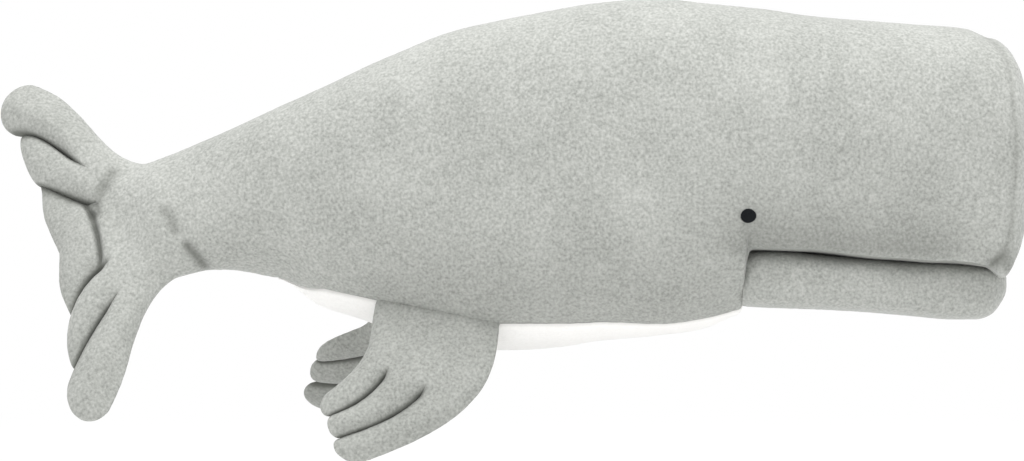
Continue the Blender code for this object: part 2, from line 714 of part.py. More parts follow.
def make_flukes():
    """Two lobes, each hinged about the slanting line of its root."""
    forwards, span, normal = tail_axes()
    shape = {
        "columns": LOBE_SHARES,
        "sizes": (LOBE_CHORD, LOBE_SPAN),
        "radius": LOBE_ROOT_RADIUS,
        "half_thick": LOBE_HALF_THICK,
        "stitch_start": LOBE_STITCH_START_SHARE,
    }
    for side, sign, sweep, labels in (
        ("right", -1, RIGHT_LOBE_SWEEP_SHARE, ("under", "upper")),
        ("left", 1, LEFT_LOBE_SWEEP_SHARE, ("upper", "under")),
    ):
        outwards = sign * span
        axes = (forwards, outwards, np.cross(forwards, outwards))
        shape["sweep"] = sweep
        size = np.array([LOBE_CHORD, LOBE_SPAN])
        ends = np.array([LOBE_SHARES[0][0], LOBE_SHARES[-1][0]]) * size
        front, rear = ends @ np.array(axes[:2])
        along = (front - rear) / np.linalg.norm(front - rear)
        away = np.cross(axes[2], along)
        place = root_middle() + away * (LOBE_ROOT_RADIUS + SEAM_GAP)
        pivot = pivot_empty(f"fluke_{side}_pivot", place + front, along)
        make_limb(f"fluke_{side}", labels, shape, axes, place, pivot)


def seam_point(half, place_share, sign):
    """A point of the belly seam at a place along the body."""
    seam = half[:, BACK_ROWS + FLANK_ROWS]
    x = BODY_BACK + place_share * BODY_LENGTH
    y = np.interp(x, seam[:, 0], seam[:, 1])
    z = np.interp(x, seam[:, 0], seam[:, 2])
    return np.array([x, y * sign, z])


def make_fins(half):
    """Two pectoral fins, sewn along the belly seams and hinged about their roots."""
    for side, sign, flap, sweep, labels in (
        ("right", 1, RIGHT_FIN_FLAP, RIGHT_FIN_SWEEP_SHARE, ("inner", "outer")),
        ("left", -1, LEFT_FIN_FLAP, LEFT_FIN_SWEEP_SHARE, ("outer", "inner")),
    ):
        rear = seam_point(half, FIN_ROOT_START_SHARE, sign)
        front = seam_point(half, FIN_ROOT_END_SHARE, sign)
        along = (front - rear) / np.linalg.norm(front - rear)
        away = np.array([0, -sign * math.sin(FIN_SEAM_LEAN), -math.cos(FIN_SEAM_LEAN)])
        away -= along * away.dot(along)
        away /= np.linalg.norm(away)
        shares = np.linspace(FIN_ROOT_START_SHARE, FIN_ROOT_END_SHARE, LIMB_ROWS)
        seam = np.array([seam_point(half, share, sign) for share in shares])
        bulge = max(0, (seam - rear).dot(away).max())
        place = (rear + front) / 2 + away * (bulge + FIN_ROOT_RADIUS + FIN_CLEARANCE)
        outwards = np.array([0, -sign * math.sin(flap), -math.cos(flap)])
        outwards -= along * outwards.dot(along)
        outwards /= np.linalg.norm(outwards)
        pivot = pivot_empty(f"fin_{side}_pivot", place, along)
        shape = {
            "columns": FIN_SHARES,
            "sizes": (FIN_ROOT_LENGTH, FIN_REACH),
            "radius": FIN_ROOT_RADIUS,
            "half_thick": FIN_HALF_THICK,
            "stitch_start": FIN_STITCH_START_SHARE,
            "sweep": sweep,
        }
        axes = (along, outwards, np.cross(along, outwards))
        make_limb(f"fin_{side}", labels, shape, axes, place, pivot)


clear_scene()
parts = new_collection("plush_whale")
cutters = new_collection("cutters")
half_body, belly = make_body()
cut_belly_flat(belly)
make_eyes(half_body)
make_jaw()
make_tail()
make_flukes()
make_fins(half_body)
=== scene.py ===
# %% [markdown]
# # A plush whale
# A stuffed whale is a bag of fleece sewn from a few panels and filled with polyester.
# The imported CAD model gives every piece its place. This lesson dresses it: each panel
# becomes a finely divided surface with its stuffing's fullness, its seams and its pile.
# The surfaces could be sculpted by hand, but here each one is a formula on a grid, so
# that a change of one number moves the whole shape and nothing has to be redone.

# %% Load the frame
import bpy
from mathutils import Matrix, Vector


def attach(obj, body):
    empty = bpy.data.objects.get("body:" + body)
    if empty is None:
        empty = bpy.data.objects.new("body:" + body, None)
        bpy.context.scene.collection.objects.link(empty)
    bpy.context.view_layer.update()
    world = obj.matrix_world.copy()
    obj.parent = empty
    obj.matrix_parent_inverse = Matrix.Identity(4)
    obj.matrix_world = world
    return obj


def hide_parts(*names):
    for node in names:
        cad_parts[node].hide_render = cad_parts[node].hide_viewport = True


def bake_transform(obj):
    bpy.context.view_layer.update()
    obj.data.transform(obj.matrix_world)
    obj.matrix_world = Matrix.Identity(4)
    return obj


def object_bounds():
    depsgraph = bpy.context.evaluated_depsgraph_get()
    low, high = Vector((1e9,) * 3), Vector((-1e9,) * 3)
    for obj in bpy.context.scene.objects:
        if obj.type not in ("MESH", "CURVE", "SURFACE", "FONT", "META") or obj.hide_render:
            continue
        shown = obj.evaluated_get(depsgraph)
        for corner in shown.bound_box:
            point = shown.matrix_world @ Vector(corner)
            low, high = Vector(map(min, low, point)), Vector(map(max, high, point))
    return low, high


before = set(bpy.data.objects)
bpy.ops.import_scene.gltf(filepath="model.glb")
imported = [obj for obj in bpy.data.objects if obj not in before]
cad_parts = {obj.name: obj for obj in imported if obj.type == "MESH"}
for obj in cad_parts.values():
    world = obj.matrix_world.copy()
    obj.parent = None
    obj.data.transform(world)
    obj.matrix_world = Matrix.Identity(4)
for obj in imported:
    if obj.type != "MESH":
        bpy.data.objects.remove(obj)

cad_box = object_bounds()
print("CAD box", cad_box)

# %% Libraries
import itertools
import math

import bmesh
import bpy
import numpy as np

# %% [markdown]
# ## The camera
# The whale was photographed from its right side with a long lens, level with the middle
# of its body. A long lens keeps the near fin and the far fin at almost one scale. Its
# distance is the width seen times the lens over the film's width. The camera is placed
# first, because the pieces are compared with the photograph through it.

# %% Camera
MM = 0.001
WIDTH_SEEN = 604.2 * MM
LENS, FILM, FAR_CLIP = 200.0, 36.0, 50
CAMERA_X, CAMERA_Z = -4.7 * MM, 69.9 * MM
camera_data = bpy.data.cameras.new("camera")
camera_data.lens = LENS
camera_data.sensor_width = FILM
camera_data.clip_end = FAR_CLIP
camera = bpy.data.objects.new("camera", camera_data)
bpy.context.scene.collection.objects.link(camera)
distance = WIDTH_SEEN * LENS / FILM
camera.location = (CAMERA_X, -distance, CAMERA_Z)
camera.rotation_euler = (math.radians(90), 0, 0)
bpy.context.scene.camera = camera
print("camera", round(distance, 3), "m away")

# %% [markdown]
# ## Curves through a few known sections
# A pattern maker measures a toy at a few stations and lets the fabric find its way
# between them. A spline through the stations can overshoot and leave dents. A monotone
# cubic never does, because its slope at a station is the harmonic mean of the slopes on
# both sides, and zero at a peak.

# %% Smooth rows
def smooth_rows(table, places):
    """A table read between its rows: a cubic piece from row to row, whose slope at a row
    is the weighted harmonic mean of the slopes beside it, and zero where they disagree."""
    table = np.asarray(table, float)
    x, y = table[:, 0], table[:, 1:]
    step = np.diff(x)[:, None]
    slope = np.diff(y, axis=0) / step
    tangent = np.zeros_like(y)
    agree = slope[:-1] * slope[1:] > 0
    left, right = 2 * step[1:] + step[:-1], step[1:] + 2 * step[:-1]
    before, after = np.where(agree, slope[:-1], 1), np.where(agree, slope[1:], 1)
    mean = (left + right) / (left / before + right / after)
    tangent[1:-1] = np.where(agree, mean, 0)
    tangent[0], tangent[-1] = slope[0], slope[-1]
    k = np.clip(np.searchsorted(x, places, side="right") - 1, 0, len(x) - 2)
    t = ((places - x[k]) / np.diff(x)[k])[:, None]
    return (
        (1 + 2 * t) * (1 - t) ** 2 * y[k] + t * (1 - t) ** 2 * step[k] * tangent[k]
        + t**2 * (3 - 2 * t) * y[k + 1] + t**2 * (t - 1) * step[k] * tangent[k + 1]
    )


def smoothstep(value, low, high):
    """0 below low, 1 above high, and three squares less two cubes between them."""
    t = np.clip((value - low) / (high - low), 0, 1)
    return t * t * (3 - 2 * t)


def bell(distance, width):
    """One on the line, falling as a bell curve of the distance over the width."""
    return np.exp(-(distance / width) ** 2)


def even_turns(curve, start, end, count):
    """Angles that walk along a curve in even steps: its length is added up over fine
    steps and read back at equal shares."""
    fine = np.linspace(start, end, 2000)
    steps = np.linalg.norm(np.diff(curve(fine), axis=0), axis=1)
    run = np.concatenate([[0], np.cumsum(steps)])
    return np.interp(np.linspace(0, run[-1], count), run, fine)


# %% [markdown]
# ## The body and head as one skin
# Two side panels, a pointed belly panel, the lining of the mouth and a round face gusset
# make the body. Sewn and stuffed, they are one taut skin. So the skin is worked out whole,
# as closed rings from the tail to the nose, and cut into its panels afterwards. Then every
# two panels share the same points along their seam, and no gap can open between them.

# %% Body sections
LENGTH, HEIGHT, HALF_WIDTH, BACK = 472 * MM, 206.5 * MM, 75.5 * MM, -184 * MM
# place along the body; top, widest point, side seam and underside as shares of the
# height; half width and half width at the seam as shares of the half width
SECTIONS = (
    (0, 0.591, 0.405, 0.226, 0.219, 0.37, 0.035),
    (0.04, 0.64, 0.42, 0.226, 0.217, 0.44, 0.045),
    (0.09, 0.694, 0.43, 0.217, 0.198, 0.51, 0.09),
    (0.14, 0.746, 0.44, 0.174, 0.125, 0.58, 0.24),
    (0.19, 0.8, 0.44, 0.149, 0.086, 0.65, 0.33),
    (0.24, 0.849, 0.44, 0.124, 0.047, 0.72, 0.41),
    (0.3, 0.903, 0.44, 0.092, 0.016, 0.79, 0.48),
    (0.365, 0.94, 0.44, 0.073, -0.002, 0.86, 0.545),
    (0.44, 0.971, 0.45, 0.074, 0.006, 0.93, 0.58),
    (0.49, 0.989, 0.46, 0.077, 0.024, 0.96, 0.585),
    (0.565, 1, 0.47, 0.071, 0.04, 0.995, 0.585),
    (0.615, 0.989, 0.48, 0.086, 0.057, 1, 0.56),
    (0.652, 0.98, 0.49, 0.106, 0.091, 1, 0.51),
    (0.6655, 0.977, 0.493, 0.12, 0.111, 0.998, 0.49),
    (0.6667, 0.976, 0.494, 0.19, 0.185, 0.998, 0.6),
    (0.6685, 0.976, 0.497, 0.257, 0.25, 0.997, 0.72),
    (0.673, 0.975, 0.5, 0.285, 0.276, 0.996, 0.815),
    (0.679, 0.974, 0.501, 0.289, 0.279, 0.995, 0.832),
    (0.74, 0.954, 0.52, 0.285, 0.274, 0.98, 0.85),
    (0.815, 0.94, 0.54, 0.266, 0.255, 0.95, 0.85),
    (0.89, 0.926, 0.55, 0.255, 0.244, 0.9, 0.85),
    (0.94, 0.922, 0.55, 0.252, 0.24, 0.86, 0.84),
    (0.975, 0.915, 0.545, 0.247, 0.236, 0.82, 0.83),
    (1, 0.891, 0.54, 0.238, 0.232, 0.77, 0.8),
)
# height, and how far the face seam leans forwards there as a share of the length
SEAM_LEAN = (
    (0.2, -0.045), (0.24, -0.035), (0.29, -0.0125), (0.41, -0.004), (0.55, 0),
    (0.82, -0.009), (0.9, -0.03), (1, -0.04),
)
LEAN_FROM, THROAT = 0.86, 0.6655
BELLY_TIP, BELLY_FULL = 0.088, 0.150
BACK_STEPS, FLANK_STEPS, BELLY_STEPS = 105, 62, 32
FLANK_TURN, BELLY_START = math.radians(75), math.radians(35)
ROUNDNESS = 0.80
CHEEK_REACH, CHEEK_FADE, CHEEK_COLUMNS = 7 * MM, 26 * MM, (22, 42)

# %% Half a ring of the body
def back_arc(turn):
    """The back from the widest point to the top: cosine and sine, each to the power 0.8."""
    return np.cos(turn) ** ROUNDNESS, np.sin(turn) ** ROUNDNESS


def real_back(turn):
    """The back arc at the size of the fullest ring."""
    return np.stack(back_arc(turn), axis=1) * (HALF_WIDTH, HEIGHT / 2)


def body_half(places):
    """The right half of each ring: the back arc, then an ellipse's quarter cut at 75
    degrees down to the side seam, then a flatter arc to the middle of the belly."""
    top, widest, seam, under, wide, seam_wide = smooth_rows(SECTIONS, places).T[:, :, None]
    belly = smoothstep(places, BELLY_TIP, BELLY_FULL)[:, None]
    seam = under + (seam - under) * belly
    seam_wide = seam_wide * belly
    turn = even_turns(real_back, math.pi / 2, 0, BACK_STEPS + 1)[None, :-1]
    out, up = back_arc(turn)
    out[:, 0] = 0
    back = wide * out, widest + (top - widest) * up
    turn = np.linspace(0, FLANK_TURN, FLANK_STEPS + 1)[None]
    fall = (np.cos(turn) - math.cos(FLANK_TURN)) / (1 - math.cos(FLANK_TURN))
    drop = np.sin(turn) / math.sin(FLANK_TURN)
    flank = seam_wide + (wide - seam_wide) * fall, widest + (seam - widest) * drop
    turn = np.linspace(BELLY_START, math.pi / 2, BELLY_STEPS + 1)[None, 1:]
    fall = np.cos(turn) / math.cos(BELLY_START)
    fall[:, -1] = 0
    drop = (np.sin(turn) - math.sin(BELLY_START)) / (1 - math.sin(BELLY_START))
    lower = seam_wide * fall, seam + (under - seam) * drop
    y = -np.concatenate([back[0], flank[0], lower[0]], axis=1) * HALF_WIDTH
    z = np.concatenate([back[1], flank[1], lower[1]], axis=1) * HEIGHT
    lean = smooth_rows(SEAM_LEAN, (z / HEIGHT).ravel()).reshape(z.shape) * LENGTH
    x = BACK + places[:, None] * LENGTH + lean * smoothstep(places, LEAN_FROM, 1.0)[:, None]
    return np.stack([x, y, z], axis=-1)


def full_cheek(half, places):
    """Above the mouth's corner each point takes the mean of its column, weighted by a bell
    curve 7 mm wide along the body, so the fuller cheek runs into the head with no ridge.
    A wider bell curve fades that share out along the body."""
    way = places * LENGTH
    near = bell(way[:, None] - way, CHEEK_REACH) * np.gradient(way)
    mean = np.einsum("ij,jkl->ikl", near / near.sum(axis=1, keepdims=True), half)
    above = BACK_STEPS + FLANK_STEPS - np.arange(half.shape[1])
    fade = bell(way - THROAT * LENGTH, CHEEK_FADE)[:, None]
    share = smoothstep(above, *CHEEK_COLUMNS) * fade
    return half + (mean - half) * share[..., None]


def whole(half):
    """Closed rings: down the right side, along the belly and up the left side."""
    return np.concatenate([half, (half * (1, -1, 1))[:, -2:0:-1]], axis=1)


# %% [markdown]
# ## Where the body runs into the tail
# The body narrows into a tail that has been turned by 63 degrees, so the flukes face the
# camera. A loft between an upright oval and a turned one folds if both are cut at the same
# angles. Here each point of one oval is paired with the point of the other that lies
# nearest in angle, and a cubic with the slopes of both ends carries it across.

# %% Tail axes
TAIL_JOIN, SLOPE_STEP = 0.085, 0.004
STOCK_PART, STOCK_ROWS, FLANK_ROWS = 0.35, 40, 18
PITCH, TURNED = math.radians(18), math.radians(63)
ROOT_SPAN, ROOT_THICK, ROOT_START = 37.5 * MM, 23.0 * MM, -5 * MM
forwards = np.array([math.cos(PITCH), 0, math.sin(PITCH)])
upright = np.array([-math.sin(PITCH), 0, math.cos(PITCH)])
span = math.cos(TURNED) * np.array([0, 1, 0]) + math.sin(TURNED) * upright
facing = np.cross(forwards, span)
root_middle = np.array([-204.0, 0, 78.133]) * MM


def in_tail(a, b, h):
    """A point from its distance along the tail, across the flukes and off their plane."""
    return root_middle + a[..., None] * forwards + b[..., None] * span + h[..., None] * facing


# %% The loft from body to tail
join_ring = whole(body_half(np.array([TAIL_JOIN, TAIL_JOIN + SLOPE_STEP])))
join_slope = (join_ring[0] - join_ring[1]) / (SLOPE_STEP * LENGTH)
join_ring = join_ring[0]
join_half = np.ptp(join_ring[:, 2]) / 2
join_wide = join_ring[:, 1].max()
join_angle = np.arctan2(
    -join_ring[:, 1] / join_wide,
    (join_ring[:, 2] - join_ring[:, 2].max() + join_half) / join_half,
)
turn_of_span = math.pi / 2 - TURNED


def loft(t, angle):
    """Cubic from the body's ring (t 0) to the tail's ellipse (t 1), by ends and slopes."""
    order = np.argsort(join_angle)
    packed = np.concatenate([join_ring, join_slope], axis=1)[order]
    start = np.stack([
        np.interp(angle, join_angle[order], column, period=2 * math.pi)
        for column in packed.T
    ], axis=1)
    psi = angle + turn_of_span
    end = in_tail(
        np.full_like(psi, ROOT_START), ROOT_SPAN * np.cos(psi), ROOT_THICK * np.sin(psi)
    )
    reach = np.linalg.norm(end - start[:, :3], axis=1)[:, None]
    t = t[:, None, None]
    return (
        (1 + 2 * t) * (1 - t) ** 2 * start[:, :3] + t * (1 - t) ** 2 * reach * start[:, 3:]
        + t**2 * (3 - 2 * t) * end + t**2 * (1 - t) * reach * forwards
    )


# %% The face gusset
FACE_BULGE, FACE_ROWS, NOSE_HEIGHT = 8.8 * MM, 64, 0.54 * HEIGHT
CHIN_SAG, CHIN_DEPTH, CHIN_TOP, CHIN_FULL = 10.0 * MM, 0.07, 78 * MM, 52 * MM


def face_rings(seam_ring):
    """Rings that shrink to the nose. Each stands forward by the bulge times one less the
    fourth power of its share, to the power 0.55. The lowest part sags over the jaw: the
    sag times the depth behind the seam times e to the power of one less that depth."""
    share = 1 - np.linspace(0, 1, FACE_ROWS + 1) ** 1.4
    share = share[:, None, None]
    middle = np.array([0, 0, NOSE_HEIGHT])
    ring = middle + (seam_ring - middle) * share
    front = seam_ring[:, 0].max() + FACE_BULGE
    bulge = np.clip(1 - share[..., 0] ** 4, 0, 1) ** 0.55
    ring[..., 0] = seam_ring[:, 0] + (front - seam_ring[:, 0]) * bulge
    depth = (1 - share[..., 0]) / CHIN_DEPTH
    low = smoothstep(-ring[..., 2], -CHIN_TOP, -CHIN_FULL)
    ring[..., 2] -= CHIN_SAG * depth * np.exp(1 - depth) * low
    return ring


# %% The whole skin
CORNER_FROM, CORNER_TO = 0.651, 0.690        # rows stand closer at the mouth's corner
places = np.concatenate([
    np.linspace(TAIL_JOIN, CORNER_FROM, 188, endpoint=False),
    np.linspace(CORNER_FROM, CORNER_TO, 66, endpoint=False),
    np.linspace(CORNER_TO, 1.0, 112),
])
stock = np.linspace(STOCK_PART, 0, FLANK_ROWS)[:-1]
half = full_cheek(body_half(places), places)
rings = whole(half)
skin = np.concatenate([loft(stock, join_angle), rings, face_rings(rings[-1])[1:]])
SEAM = BACK_STEPS + FLANK_STEPS
MIDDLE = SEAM + BELLY_STEPS
OTHER_SEAM = 2 * MIDDLE - SEAM
belly_row = len(stock) + int(np.searchsorted(places, BELLY_TIP))
throat_row = len(stock) + int(np.searchsorted(places, THROAT))
face_row = len(stock) + len(places) - 1
print("skin", skin.shape, "belly, throat and face rows", belly_row, throat_row, face_row)

# %% [markdown]
# ## Soft corners, seams and creases
# A seam pulls the fabric in along a line, and the filling rounds every other corner. The
# corners at the cheek and along the lips are rounded by moving each point towards its
# neighbours, many times but only there. The seams are grooves: a bell curve of the
# distance from the line, pushed inwards. The same curve is kept as an attribute, so that
# the finish can darken the fabric in a groove as painted shade.

# %% Rounding and grooves
def softened(grid, share, passes):
    """Each point moves by its share towards the mean of its four neighbours, repeatedly."""
    for _ in range(passes):
        mean = (np.roll(grid, 1, 1) + np.roll(grid, -1, 1)) / 2
        mean[1:-1] = mean[1:-1] / 2 + (grid[2:] + grid[:-2]) / 4
        grid = grid + (mean - grid) * share[..., None]
    return grid


def drawn_line(points, line, width):
    """A bell curve of the distance, seen from the side, to a line drawn through points."""
    flat = points[..., [0, 2]]
    line = np.array(line) * MM
    nearest = np.full(flat.shape[:-1], np.inf)
    for start, end in zip(line, line[1:]):
        way = end - start
        t = np.clip((flat - start) @ way / (way @ way), 0, 1)
        nearest = np.minimum(nearest, np.linalg.norm(flat - start - t[..., None] * way, axis=-1))
    return bell(nearest, width)


def grid_normals(grid, centre):
    """The cross product of the steps along and around, made one long, facing outwards."""
    around = np.roll(grid, -1, 1) - np.roll(grid, 1, 1)
    along = np.gradient(grid, axis=0)
    normal = np.cross(along, around)
    normal /= np.maximum(np.linalg.norm(normal, axis=-1, keepdims=True), 1e-12)
    outward = np.sign(np.sum(normal * (grid - centre)))
    return normal * outward


# %% Soft corners of the skin
SOFTEST, SOFT_PASSES = 0.9, 14
rows = np.arange(len(skin))[:, None]
columns = np.arange(skin.shape[1])[None]
from_seam = np.minimum(np.abs(columns - SEAM), np.abs(columns - OTHER_SEAM))
lips = smoothstep(rows, throat_row - 10, throat_row + 6) * bell(from_seam, 6.0)
cheek = bell((rows - throat_row - 7) / 18.0, 1.0) * (from_seam < 40)
face_edge = bell(rows - face_row, 4.0)
belly_edge = bell(from_seam, 3.0) * smoothstep(rows, belly_row + 20, belly_row + 40) * 0.5
whole_grid = np.zeros((len(skin), skin.shape[1]))
masks = [whole_grid + mask for mask in (lips, cheek * 0.6, face_edge * 0.5, belly_edge)]
share = np.clip(np.maximum.reduce(masks), 0, SOFTEST)
skin = softened(skin, share * (rows > belly_row + 4), SOFT_PASSES)
print("softest corner", round(float(share.max()), 2))

# %% [markdown]
# ## Lumps and pile
# Polyester filling is never even, so the skin rises and falls by up to a millimetre over a
# few centimetres. Fleece has tufts two or three millimetres across. Both are value noise:
# a random height at each corner of a lattice of cubes, mixed smoothly inside each cube.
# It could come from a Displace modifier with a texture, but worked out in numpy the same
# heights can also be kept as an attribute that the finish reads.

# %% Value noise
# the share of each size of noise in the height, its size and its seed
TUFTS = ((0.62, 3.1 * MM, 1), (0.38, 1.7 * MM, 2))
FULLNESS = ((0.65, 38 * MM, 3), (0.35, 17 * MM, 4))
PILE, LUMP = 0.18 * MM, 0.70 * MM


def lattice(points, size, seed):
    """Value noise from -1 to 1: a scrambled whole number for each cube corner, mixed with
    three squares less two cubes of the place inside the cube."""
    place = points / size
    base = np.floor(place).astype(np.int64)
    inside = place - base
    inside = inside * inside * (3 - 2 * inside)
    total = np.zeros(points.shape[:-1])
    for corner in itertools.product((0, 1), repeat=3):
        code = (base + corner) @ np.array([1619, 31337, 6971]) + seed * 1013
        code = (code << 13) ^ code
        code = code * (code * code * 15731 + 789221) + 1376312589
        height = (code & 0x7FFFFFFF) / 0x7FFFFFFF
        total += height * np.prod(np.where(corner, inside, 1 - inside), axis=-1)
    return 2 * total - 1


def uneven(points, sizes):
    """Two sizes of value noise by their shares, the smaller one weaker."""
    return sum(share * lattice(points, size, seed) for share, size, seed in sizes)


# %% Seams of the skin
BELLY_SEAM, BACK_SEAM, FACE_SEAM = 0.9 * MM, 0.4 * MM, 0.45 * MM
BELLY_COLUMN, BACK_COLUMN = 1.35 * MM, 1.4 * MM        # the way from column to column
body_centre = np.array([30 * MM, 0, 95 * MM])
normal = grid_normals(skin, body_centre)
closing = normal[:belly_row, SEAM] + normal[:belly_row, OTHER_SEAM]
closing /= np.linalg.norm(closing, axis=-1, keepdims=True)
normal[:belly_row, SEAM:OTHER_SEAM + 1] = closing[:, None]
on_belly = smoothstep(rows, belly_row - 6, belly_row + 4) * (rows <= throat_row + 1)
belly_seam = bell(from_seam * BELLY_COLUMN, 2.0 * MM) * on_belly
back_seam = bell(np.minimum(columns, skin.shape[1] - columns) * BACK_COLUMN, 1.8 * MM)
back_seam = back_seam * (rows <= face_row)
face_seam = bell(rows - face_row, 1.7) + whole_grid
seams = BELLY_SEAM * belly_seam + BACK_SEAM * back_seam + FACE_SEAM * face_seam
print("deepest groove", round(float(seams.max() / MM), 2), "mm")

# %% [markdown]
# ## Painted shade in the fleece
# Fabric that turns under, or that lies over the lips, gets less light and looks darker.
# Lamps alone would need a dark room for it. So that shade is painted: a few soft tones of
# painted shade are kept in the attribute of the grooves, as bell curves round lines drawn
# on the side view, and one step of height.

# %% Painted shade of the skin
LIPS = ((137, 58.4), (271, 50))
CHIN_FOLD = ((276, 51), (281, 53), (286, 46))
LIP_PAINTED_SHADE, WIDE_LIP_PAINTED_SHADE, UNDER_PAINTED_SHADE, FOLD_PAINTED_SHADE = 0.25, 0.27, 0.26, 0.50
# painted shade over the lips, in a narrow and a wide bell curve
shade_over_lips = LIP_PAINTED_SHADE * drawn_line(skin, LIPS, 18 * MM)
shade_over_lips += WIDE_LIP_PAINTED_SHADE * drawn_line(skin, LIPS, 42 * MM)
shade_over_lips *= smoothstep(skin[..., 2], 46 * MM, 60 * MM)
shade_over_lips *= 1 - 0.6 * smoothstep(skin[..., 0], 235 * MM, 275 * MM)
# painted shade where the flank turns under towards the belly
shade_turned_under = UNDER_PAINTED_SHADE * smoothstep(-skin[..., 2], -94 * MM, -20 * MM)
shade_turned_under *= smoothstep(skin[..., 0], -140 * MM, -60 * MM) * (rows <= face_row)
# painted shadow in the fold at the chin's corner, in tone only
chin_fold_shade = FOLD_PAINTED_SHADE * drawn_line(skin, CHIN_FOLD, 5.0 * MM)
# painted shade in the grooves of the seams, on the belly and on the rest of the skin
belly_shade = 0.6 * belly_seam
groove_shade = 0.75 * belly_seam + 0.20 * back_seam + 0.30 * face_seam
skin_shade = np.clip(groove_shade + chin_fold_shade + np.maximum(shade_over_lips, shade_turned_under), 0, 1)
print("darkest tone over the lips", round(float(shade_over_lips.max()), 2))

# %% Lumps and pile of the skin
skin += normal * (LUMP * uneven(skin, FULLNESS) - seams)[..., None]
smooth_skin = skin.copy()
skin = skin + normal * (PILE * uneven(skin, TUFTS))[..., None]
print("skin box", np.round(skin.min(axis=(0, 1)), 4), np.round(skin.max(axis=(0, 1)), 4))

# %% [markdown]
# ## Finishes
# The fleece is heather: dark and light fibres carded together, so it is speckled at the
# size of a tuft. It scatters light with no gloss, and its fibre ends catch a soft sheen at
# the outline. The speckle is noise on Object coordinates, which don't slide when a joint
# turns. Shader sums are written as Python expressions: one small class wraps a number
# socket, and each operator adds the Math node that it stands for.

# %% Shader numbers
class Number:
    """A shader value. An expression on Numbers adds its Math nodes to the finish."""

    def __init__(self, finish, socket):
        self.finish, self.socket = finish, socket

    def math(self, operation, first, second):
        return self.finish.node("ShaderNodeMath", {"operation": operation}, {0: first, 1: second})

    def __add__(self, other):
        return self.math("ADD", self, other)

    def __sub__(self, other):
        return self.math("SUBTRACT", self, other)

    def __rsub__(self, other):
        return self.math("SUBTRACT", other, self)

    def __mul__(self, other):
        return self.math("MULTIPLY", self, other)

    __radd__, __rmul__ = __add__, __mul__


# %% Finishes
class Finish:
    """A Principled material. Its node method adds any other node to it."""

    def __init__(self, name, **sockets):
        self.material = bpy.data.materials.new(name)
        self.material.use_nodes = True
        self.tree = self.material.node_tree
        self.shader = self.tree.nodes["Principled BSDF"]
        for socket, value in sockets.items():
            self.put(self.shader.inputs[socket.replace("_", " ")], value)

    def put(self, socket, value):
        if isinstance(value, Number):
            self.tree.links.new(value.socket, socket)
        else:
            socket.default_value = value

    def node(self, kind, settings, inputs, output=0):
        made = self.tree.nodes.new(kind)
        for setting, value in settings.items():
            setattr(made, setting, value)
        for socket, value in inputs.items():
            self.put(made.inputs[socket], value)
        return Number(self, made.outputs[output])

    def place(self):
        return self.node("ShaderNodeTexCoord", {}, {}, "Object")

    def noise(self, scale, detail=2.0):
        inputs = {"Vector": self.place(), "Scale": scale, "Detail": detail}
        return self.node("ShaderNodeTexNoise", {}, inputs, "Fac")

    def kept(self, name):
        return self.node("ShaderNodeAttribute", {"attribute_name": name}, {}, "Fac")

    def between(self, factor, low, high):
        settings = {"data_type": "RGBA"}
        return self.node("ShaderNodeMix", settings, {0: factor, 6: low, 7: high}, 2)

    def clipped(self, value):
        return self.node("ShaderNodeClamp", {}, {"Value": value})


# %% Fleece
# waves of noise to the metre, and the share of each in the tone
TUFT_WAVES, FIBRE_WAVES, PATCH_WAVES = 600, 1500, 24
TUFT_SHARE, FIBRE_SHARE, PATCH_SHARE, PILE_SHARE = 1.6, 0.35, 0.5, 0.12
PAINTED_SHADE_SHARE, BUMP_HEIGHT = 0.9, 0.9 * MM


def fleece(name, dark, light, shade_colour, speckle=1.0, bump=0.34):
    """Heather fleece. Its tone is a half, plus the tufts, the fibres, the slow patches and
    the height of the pile, each about its own middle and by its own share; the pile's share
    is painted shade, darker in the pits. The shade attribute then mixes in painted shade."""
    finish = Finish(name, Roughness=0.95, Sheen_Weight=0.22, Sheen_Roughness=0.55)
    finish.put(finish.shader.inputs["Specular IOR Level"], 0.15)
    tufts = finish.noise(TUFT_WAVES, 1.2) - 0.5
    fibres = finish.noise(FIBRE_WAVES, 1.0) - 0.5
    patches = finish.noise(PATCH_WAVES, 1.0) - 0.5
    heather = tufts * TUFT_SHARE + fibres * FIBRE_SHARE + patches * PATCH_SHARE
    # painted shade and light: the pile's height makes its pits darker and its tips lighter
    tone = 0.5 + speckle * (heather + finish.kept("pile") * PILE_SHARE)
    colour = finish.between(finish.clipped(tone), (*dark, 1), (*light, 1))
    # painted shade: the shade attribute darkens the fleece in seams, creases, folds, over the lips
    # and where it turns under
    colour = finish.between(finish.kept("shade") * PAINTED_SHADE_SHARE, colour, (*shade_colour, 1))
    finish.put(finish.shader.inputs["Base Color"], colour)
    height = tufts * 0.8 + fibres * 0.25
    sockets = {"Strength": bump, "Distance": BUMP_HEIGHT, "Height": height}
    finish.put(finish.shader.inputs["Normal"], finish.node("ShaderNodeBump", {}, sockets, "Normal"))
    return finish.material


# the dark and the light tufts, and the colour of painted shade in grooves and folds
GREY = (0.30, 0.31, 0.288), (0.56, 0.57, 0.54), (0.12, 0.125, 0.11)
WHITE = (0.93, 0.92, 0.90), (1.0, 0.99, 0.97), (0.55, 0.54, 0.52)
# the mouth lining is the grey fleece painted darker: painted shade inside the mouth
SHADED_LINING = (0.16, 0.165, 0.15), (0.30, 0.31, 0.28), (0.08, 0.08, 0.07)
grey = fleece("grey_heather_fleece", *GREY)
white = fleece("off_white_fleece", *WHITE, speckle=0.8)
shaded_lining = fleece("mouth_lining_painted_shade_fleece", *SHADED_LINING)

# %% [markdown]
# ## From a grid to a sewn piece
# Blender wants a list of points and a list of quads. On a grid the quads are sums of row
# and column numbers, so one numpy expression makes them all. Points that meet at a pole or
# along a rim are merged, and the faces are turned so that they look away from the filling.

# %% Sewn pieces
SAME_POINT = 0.001 * MM


def write_attribute(mesh, name, values):
    layer = mesh.attributes.new(name, "FLOAT", "POINT")
    layer.data.foreach_set("value", values.astype(np.float32).ravel())


